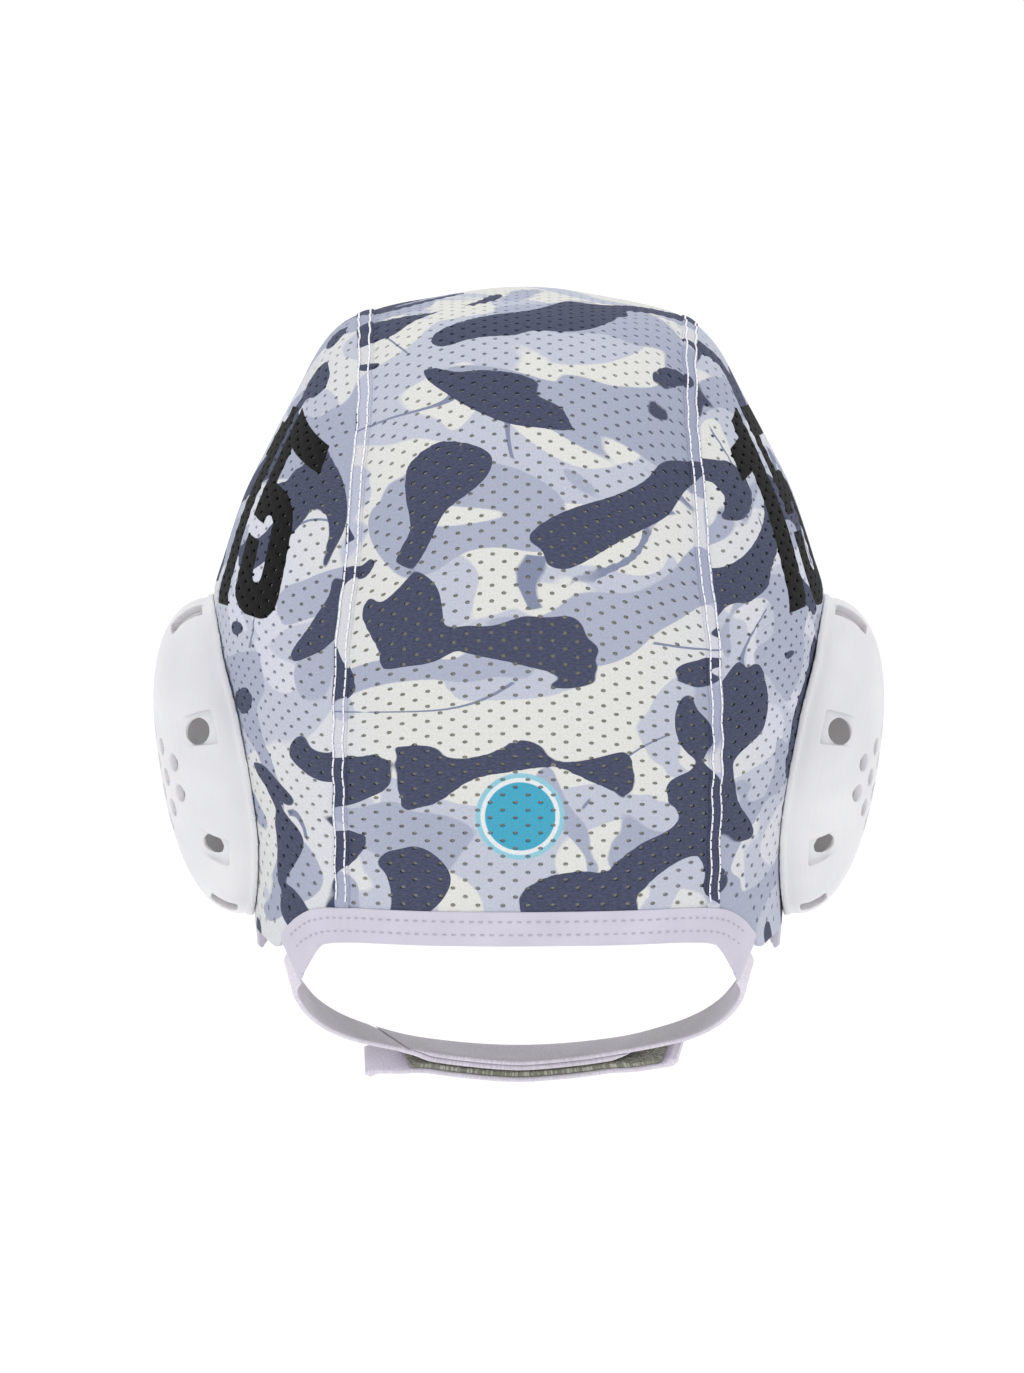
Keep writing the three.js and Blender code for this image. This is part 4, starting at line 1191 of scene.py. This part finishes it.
def closure_frame(distances):
    """The strap's frame up to FREE_FROM from the middle, and on from there the free ends' own way."""
    steps = np.arange(0, 30, 0.25)
    point, forward, outward_way = strap_frame(distances)
    for side, way, facing in (
        (1, (-1, -0.05, 0.03), (-0.05, 0.36, -0.93)), (-1, (1, -0.3, 0.29), (0.2, 0.34, -0.9)),
    ):
        near, near_forward, near_outward = strap_frame(np.array([FREE_FROM * side]))
        first = np.cross(near_forward[0], near_outward[0]) * side
        turn = ease(0, 9, steps)[:, None]
        ways = unit(mix(first[None], np.array(way)[None], turn))
        line = near[0] + np.concatenate([[np.zeros(3)], np.cumsum((ways[1:] + ways[:-1]) / 2 * 0.25, axis=0)])
        facings = mix(near_outward, np.array(facing)[None], turn)
        facings = unit(facings - ways * (facings * ways).sum(axis=1, keepdims=True))
        past = distances * side - FREE_FROM
        free = past > 0
        for target, source in ((point, line), (outward_way, facings), (forward, np.cross(facings, ways * side))):
            for k in range(3):
                target[free, k] = np.interp(past[free], steps, source[:, k])
    return point, forward, outward_way


def band(name, start, end, width_at, layer_at, thick_at, edge=0.45, frame_at=strap_frame):
    """A flat band along the strap with rounded edges."""
    steps = max(int(abs(end - start) / 1.6), 24)
    distances = np.linspace(start, end, steps)
    taper = np.sqrt(np.clip(np.minimum(distances - start, end - distances) / 0.8, 0, 1) * 0.85 + 0.15)
    point, forward, outward_way = frame_at(distances)
    turn = np.radians(np.array([-90, -55, -20, 20, 55, 90]))
    width, layer, thick = width_at(distances), layer_at(distances), thick_at(distances)
    sections = []
    spots = []
    for k in range(steps):
        half, thin = width[k] / 2, thick[k] / 2 * taper[k]
        middle = layer[k] + thick[k] / 2
        side = [(half - edge + edge * math.cos(a), thin * math.sin(a)) for a in turn]
        flat = [(half * share, thin * (1 + 0.06 * math.cos(share * 9))) for share in (0.66, 0.33, 0, -0.33, -0.66)]
        other = [(-across, up) for across, up in reversed(side)]
        back = [(-across, -up) for across, up in flat]
        profile = side + flat + other + back
        sections.append(np.array([
            point[k] + forward[k] * across + outward_way[k] * (middle + up) for across, up in profile
        ]))
        spots += [(distances[k], across) for across, _ in profile]
    piece = tube(name, sections)
    write_map(piece, "cloth", np.array(spots))
    return finish_cloth(piece)


def strap_width(distance):
    at_tape = TAPE_END_WIDTH - 2 * STRAP_TUCK
    return mix(STRAP_WIDTH, at_tape, ease(STRAP_LENGTH / 4, STRAP_LENGTH / 2, np.abs(distance)))


class CAP_OT_chin_strap(bpy.types.Operator):
    """Builds the two strap ends that meet under the chin"""

    bl_idname = "cap.chin_strap"
    bl_label = "Chin Strap"

    def execute(self, context):
        colours = context.scene.cap_colours
        material = webbing(colours)
        half = STRAP_LENGTH / 2

        def under(at):
            return np.full(at.shape, -STRAP_THICK / 2)

        def right_thick(at):
            return mix(STRAP_THICK, 0.3, ease(OVERLAP_LEFT - 12, OVERLAP_LEFT - 1, at))

        def over(at):
            free = 1 - ease(OVERLAP_LEFT - 1, OVERLAP_LEFT + 5, at)
            return (right_thick(at) + GAP / 2) * free - STRAP_THICK / 2

        def left_thick(at):
            return mix(0.6, STRAP_THICK, ease(-TONGUE_END, -TONGUE_END + 8, at))

        right = band("chin_strap_right_cloth", -half, OVERLAP_LEFT, strap_width, under, right_thick)
        dress(right, material, "strap_webbing", "chin_strap_right")
        left = band("chin_strap_left_cloth", -TONGUE_END, half, strap_width, over, left_thick)
        dress(left, material, "strap_webbing", "chin_strap_left")
        return {"FINISHED"}


def closure_layer(distance):
    free = ease(TONGUE_END - 9, TONGUE_END + 9, -distance)
    return 2 * LAYER + 1.2 * free - STRAP_THICK / 2


class CAP_OT_closure(bpy.types.Operator):
    """Builds the hook tape and the flap with its rolled pull tab"""

    bl_idname = "cap.closure"
    bl_label = "Closure"

    def execute(self, context):
        colours = context.scene.cap_colours
        start = -OVERLAP_RIGHT - 4
        end = OVERLAP_LEFT + 4

        def curled(at):
            return ease(4.2, 0.8, at - start)

        def flap_layer(at):
            return closure_layer(at) + 1.5 - 1.5 * curled(at)

        def flap_thick(at):
            return STRAP_THICK + 1.3 * ease(end - 4, end - 1, at) + 1.5 * curled(at)

        hook = band(
            "hook_tape_cloth", start + 4.4, OVERLAP_LEFT - 8,
            lambda at: np.full(at.shape, float(STRAP_WIDTH)), closure_layer,
            lambda at: np.full(at.shape, 1.3), edge=0.2, frame_at=closure_frame,
        )
        dress(hook, hook_tape("Nylon hook tape, woven", colours.hook), "hook_pile", "hook_tape")
        flap = band(
            "closure_flap_cloth", start, end, lambda at: np.full(at.shape, float(TAB_WIDTH)),
            flap_layer, flap_thick, frame_at=closure_frame,
        )
        dress(flap, webbing(colours), "strap_webbing", "closure_flap")
        return {"FINISHED"}


def dome_ring(angles, inset, rise, share):
    forward, up = guard_outline(angles, inset)
    rim_forward, rim_up = guard_outline(angles, 0)
    base = cloth_rise(rim_forward, rim_up) + GAP + LIP_HEIGHT
    crowned = (1 - (1 - share) ** GUARD_CROWNING) ** (1 / GUARD_CROWNING)
    out = base * (1 - share) ** 2 + (rise - LIP_HEIGHT) * crowned + LIP_HEIGHT * (1 - (1 - share) ** 2)
    return np.stack([out, forward * (1 - share), mix(up, GUARD_APEX_SHIFT, share)], axis=-1)


def rim_ring(angles, inset, height):
    forward, up = guard_outline(angles, inset)
    return np.stack([cloth_rise(forward, up) + GAP + height, forward, up], axis=-1)


def guard_shell():
    angles = np.linspace(0, 360, 128, endpoint=False)
    shares = [0, 0.004, 0.012, 0.025, 0.045, 0.07, 0.1, 0.14, 0.19, 0.25, 0.32, 0.4, 0.5, 0.62, 0.76, 0.9]
    inner_inset = LIP_STEP + GUARD_WALL
    inside = [dome_ring(angles, inner_inset, GUARD_RISE - GUARD_WALL, share) for share in shares]
    outside = [dome_ring(angles, LIP_STEP, GUARD_RISE, share) for share in shares]
    rings = inside[::-1]
    rings += [rim_ring(angles, inner_inset, 0), rim_ring(angles, 0, 0), rim_ring(angles, 0, LIP_HEIGHT)]
    rings += outside
    return tube("guard_shell", rings)


def guard_cutters():
    """Boxes and rods that open the guard: recesses with one deep side, slots and sound holes."""
    recesses, holes = [], []

    def spot(angle, height):
        shares = np.linspace(0, 0.5, 200)
        line = np.array([dome_ring(np.array([float(angle)]), LIP_STEP, GUARD_RISE, share)[0] for share in shares])
        at = int(np.argmin(np.abs(line[:, 0] - height)))
        along = unit(line[min(at + 3, 199)] - line[max(at - 3, 0)])
        ahead = dome_ring(np.array([angle + 1.0]), LIP_STEP, GUARD_RISE, shares[at])[0]
        behind = dome_ring(np.array([angle - 1.0]), LIP_STEP, GUARD_RISE, shares[at])[0]
        round_way = unit(ahead - behind)
        normal = unit(np.cross(along, round_way))
        if normal[0] < 0 and abs(normal[0]) > 0.2:
            normal = -normal
        if np.dot(normal[1:], line[at][1:]) < 0:
            normal = -normal
        return line[at], along, round_way, normal

    def block(middle, along, round_way, normal, size, bevel):
        bpy.ops.object.select_all(action="DESELECT")
        bpy.ops.mesh.primitive_cube_add(size=1)
        cutter = bpy.context.object
        rotation = Matrix((along, round_way, normal)).transposed().to_4x4()
        scale = Matrix.Diagonal((*size, 1))
        cutter.data.transform(Matrix.Translation(Vector(middle)) @ rotation @ scale)
        outward(cutter, bevel=bevel)
        return cutter

    def rod(middle, direction, diameter, length):
        bpy.ops.object.select_all(action="DESELECT")
        bpy.ops.mesh.primitive_cylinder_add(vertices=40, radius=diameter / 2, depth=length)
        cutter = bpy.context.object
        turn = Vector(direction).to_track_quat("Z", "Y").to_matrix().to_4x4()
        cutter.data.transform(Matrix.Translation(Vector(middle)) @ turn)
        return cutter

    def ramp(angle, height, along_size, round_size, deep):
        """A recess whose floor follows the dome: deep beside the rim, running out towards the top."""
        shares = np.linspace(0.004, 0.7, 300)
        line = dome_ring(np.full(300, float(angle)), LIP_STEP, GUARD_RISE, shares)
        length = lengths_along(line)
        at = int(np.argmin(np.abs(line[:, 0] - height)))
        ends = dome_ring(np.array([angle - 1.0, angle + 1.0]), LIP_STEP, GUARD_RISE, shares[at])
        per_degree = np.linalg.norm(ends[1] - ends[0]) / 2
        u, v = np.meshgrid(np.linspace(-0.5, 0.5, 17), np.linspace(-0.5, 0.5, 9), indexing="ij")
        share = np.interp(length[at] + u * along_size, length, shares).ravel()
        turned = (angle + v * round_size / per_degree).ravel()
        point = dome_ring(turned, LIP_STEP, GUARD_RISE, share)
        ahead = dome_ring(turned, LIP_STEP, GUARD_RISE, share + 0.003) - point
        aside = dome_ring(turned + 0.5, LIP_STEP, GUARD_RISE, share) - point
        normal = unit(np.cross(ahead, aside))
        normal *= np.sign((normal[:, 1:] * point[:, 1:]).sum(axis=1, keepdims=True))
        depth = deep * ease(0.5, -0.1, u.ravel())
        low, top = point - normal * depth[:, None], point + normal * 2.5
        count = len(point)
        faces = []
        for i in range(16):
            for j in range(8):
                a = i * 9 + j
                faces.append((a, a + 1, a + 10, a + 9))
                faces.append((a + count, a + 9 + count, a + 10 + count, a + 1 + count))
        border = list(range(9)) + [i * 9 + 8 for i in range(1, 17)]
        border += [16 * 9 + j for j in range(7, -1, -1)] + [i * 9 for i in range(15, 0, -1)]
        for a, b in zip(border, border[1:] + border[:1]):
            faces.append((a, a + count, b + count, b))
        cutter = make_object("ramp", np.concatenate([low, top]) / MM, faces)
        outward(cutter)
        return cutter

    for angle, height, along_size, round_size, deep, hole in (
        (28, 9.0, 12.8, 8.8, 1.9, 7.0), (166, 9.0, 12.8, 8.8, 1.9, 7.0),
        (-34, 8.6, 11.0, 7.8, 1.9, 5.6), (214, 8.6, 11.0, 7.8, 1.9, 5.6),
    ):
        recesses.append(ramp(angle, height, along_size, round_size, deep))
        middle, along, round_way, normal = spot(angle, height)
        axis = unit(np.array([0.15, *unit(middle[1:])]))
        holes.append(rod(middle - along * 0.6, axis, hole, 14))
    for angle, height, along_size, round_size in (
        (68, 9.0, 10.5, 8.0), (112, 9.0, 10.5, 8.0), (-66, 8.0, 8.0, 6.0), (246, 8.0, 8.0, 6.0),
    ):
        middle, along, round_way, normal = spot(angle, height)
        holes.append(block(middle, along, round_way, normal, (along_size, round_size, 9), 0.6))
    for column, count in enumerate(SOUND_COLUMNS):
        forward = (column - 3) * SOUND_PITCH * math.sin(math.pi / 3)
        for i in range(count):
            up = (i - (count - 1) / 2) * SOUND_PITCH - SOUND_DROP
            holes.append(rod((GUARD_RISE, forward, up), (1, 0, 0), SOUND_HOLE, GUARD_RISE))
    return recesses, holes


def joined_object(pieces):
    bpy.ops.object.select_all(action="DESELECT")
    for piece in pieces:
        piece.select_set(True)
    bpy.context.view_layer.objects.active = pieces[0]
    bpy.ops.object.join()
    return pieces[0]


class CAP_OT_ear_guards(bpy.types.Operator):
    """Builds the two moulded ear guards with their slots and sound holes"""

    bl_idname = "cap.ear_guards"
    bl_label = "Ear Guards"

    def execute(self, context):
        shell = guard_shell()
        outward(shell)
        recesses, holes = guard_cutters()
        for cutters in (recesses, holes):
            cutter = joined_object(cutters)
            cutter.data.transform(Matrix.Scale(MM, 4))
            select_only(shell)
            boolean = shell.modifiers.new("cut", "BOOLEAN")
            boolean.operation = "DIFFERENCE"
            boolean.solver = "EXACT"
            boolean.use_self = True
            boolean.object = cutter
            bpy.ops.object.modifier_apply(modifier="cut")
            bpy.data.objects.remove(cutter)
        shell.data.remesh_voxel_size = 0.0005
        bpy.ops.object.voxel_remesh()
        smooth = shell.modifiers.new("soften", "SMOOTH")
        smooth.factor = 0.5
        smooth.iterations = 3
        bpy.ops.object.modifier_apply(modifier="soften")
        bpy.ops.object.shade_smooth()
        material = guard_plastic("Polypropylene, moulded satin", context.scene.cap_colours.guard)
        for side, word in ((1, "right"), (-1, "left")):
            mesh = shell.data.copy()
            if side < 0:
                mesh.transform(Matrix.Diagonal((-1, 1, 1, 1)))
                mesh.flip_normals()
            place = guard_place(side)
            place[:3, 3] *= MM
            mesh.transform(Matrix(place.tolist()))
            piece = bpy.data.objects.new(f"ear_guard_{word}_shell", mesh)
            context.scene.collection.objects.link(piece)
            dress(piece, material, "guard_shell", f"ear_guard_{word}")
        bpy.data.objects.remove(shell)
        return {"FINISHED"}


def aim(piece, way):
    piece.rotation_mode = "QUATERNION"
    piece.rotation_quaternion = way.to_track_quat("-Z", "Y")


class CAP_OT_stage(bpy.types.Operator):
    """Sets the floor, the soft studio light and the camera"""

    bl_idname = "cap.stage"
    bl_label = "Stage"

    def execute(self, context):
        sizes = context.scene.cap_sizes
        tilt = sizes.camera_height
        data = bpy.data.cameras.new("camera")
        camera = bpy.data.objects.new("camera", data)
        context.scene.collection.objects.link(camera)
        # The frame's middle is 1.9 mm left of the cap's axis and 109.6 mm below its crown.
        data.sensor_width = 36
        data.lens = FOCAL_LENGTH / FRAME_HEIGHT * data.sensor_width
        look = Vector((0, math.cos(tilt), -math.sin(tilt)))
        up = Vector((0, math.sin(tilt), math.cos(tilt)))
        target = Vector((-0.0019, 0, 0)) - 0.1096 * up
        camera.location = target - look * sizes.camera_distance
        aim(camera, look)
        data.clip_start, data.clip_end = 0.01, 100
        context.scene.camera = camera

        bpy.ops.object.select_all(action="DESELECT")
        bpy.ops.mesh.primitive_plane_add(size=60, location=(0, 0, 0))
        floor = context.object
        floor.name = "floor"
        floor.data.transform(Matrix.Translation((0, 0, -0.46)))
        material, tree, shader = start_material("Paper backdrop, matt white", Roughness=0.9)
        fibre = noise(tree, object_place(tree), 4.0, 2.0)
        finish_material(tree, shader, blend(tree, soft_step(tree, fibre, 0.3, 0.7), "FCFCFC", "FAFAFB"))
        shader.inputs["Emission Color"].default_value = (1, 1, 1, 1)
        shader.inputs["Emission Strength"].default_value = 0.08
        floor.data.materials.append(material)

        world = bpy.data.worlds.new("studio")
        world.use_nodes = True
        back = world.node_tree.nodes["Background"]
        back.inputs["Color"].default_value = (1, 1, 1, 1)
        back.inputs["Strength"].default_value = 1.0
        context.scene.world = world
        context.scene.view_settings.view_transform = "Standard"
        for name, spot, size, energy in (
            ("key", (-0.7, -2.0, 1.3), 0.9, 6),
            ("fill", (1.6, -1.3, 0.5), 1.4, 1),
            ("top", (0.0, 0.2, 1.9), 1.2, 5),
        ):
            lamp = bpy.data.lights.new(name, "AREA")
            lamp.size = size
            lamp.energy = energy
            light = bpy.data.objects.new(name, lamp)
            context.scene.collection.objects.link(light)
            light.location = spot
            aim(light, Vector((0, 0, -0.1)) - Vector(spot))
        return {"FINISHED"}


class CAP_PT_panel(bpy.types.Panel):
    bl_label = "Water Polo Cap"
    bl_idname = "CAP_PT_panel"
    bl_space_type = "VIEW_3D"
    bl_region_type = "UI"
    bl_category = "Cap"

    def draw(self, context):
        for operator in OPERATORS:
            self.layout.operator(operator.bl_idname)
        for group in (context.scene.cap_sizes, context.scene.cap_colours):
            for key in group.__annotations__:
                self.layout.prop(group, key)


OPERATORS = (
    CAP_OT_stage,
    CAP_OT_centre_panel,
    CAP_OT_side_panels,
    CAP_OT_seam_bands,
    CAP_OT_edge_tapes,
    CAP_OT_chin_strap,
    CAP_OT_closure,
    CAP_OT_ear_guards,
)
CLASSES = (CapSizes, CapColours, *OPERATORS, CAP_PT_panel)


def register():
    for item in CLASSES:
        bpy.utils.register_class(item)
    bpy.types.Scene.cap_sizes = bpy.props.PointerProperty(type=CapSizes)
    bpy.types.Scene.cap_colours = bpy.props.PointerProperty(type=CapColours)


def unregister():
    del bpy.types.Scene.cap_sizes
    del bpy.types.Scene.cap_colours
    for item in reversed(CLASSES):
        bpy.utils.unregister_class(item)


def main():
    register()
    bpy.ops.object.select_all(action="DESELECT")
    bpy.ops.cap.stage()
    bpy.ops.cap.centre_panel()
    bpy.ops.cap.side_panels()
    bpy.ops.cap.seam_bands()
    bpy.ops.cap.edge_tapes()
    bpy.ops.cap.chin_strap()
    bpy.ops.cap.closure()
    bpy.ops.cap.ear_guards()


if __name__ == "__main__":
    main()
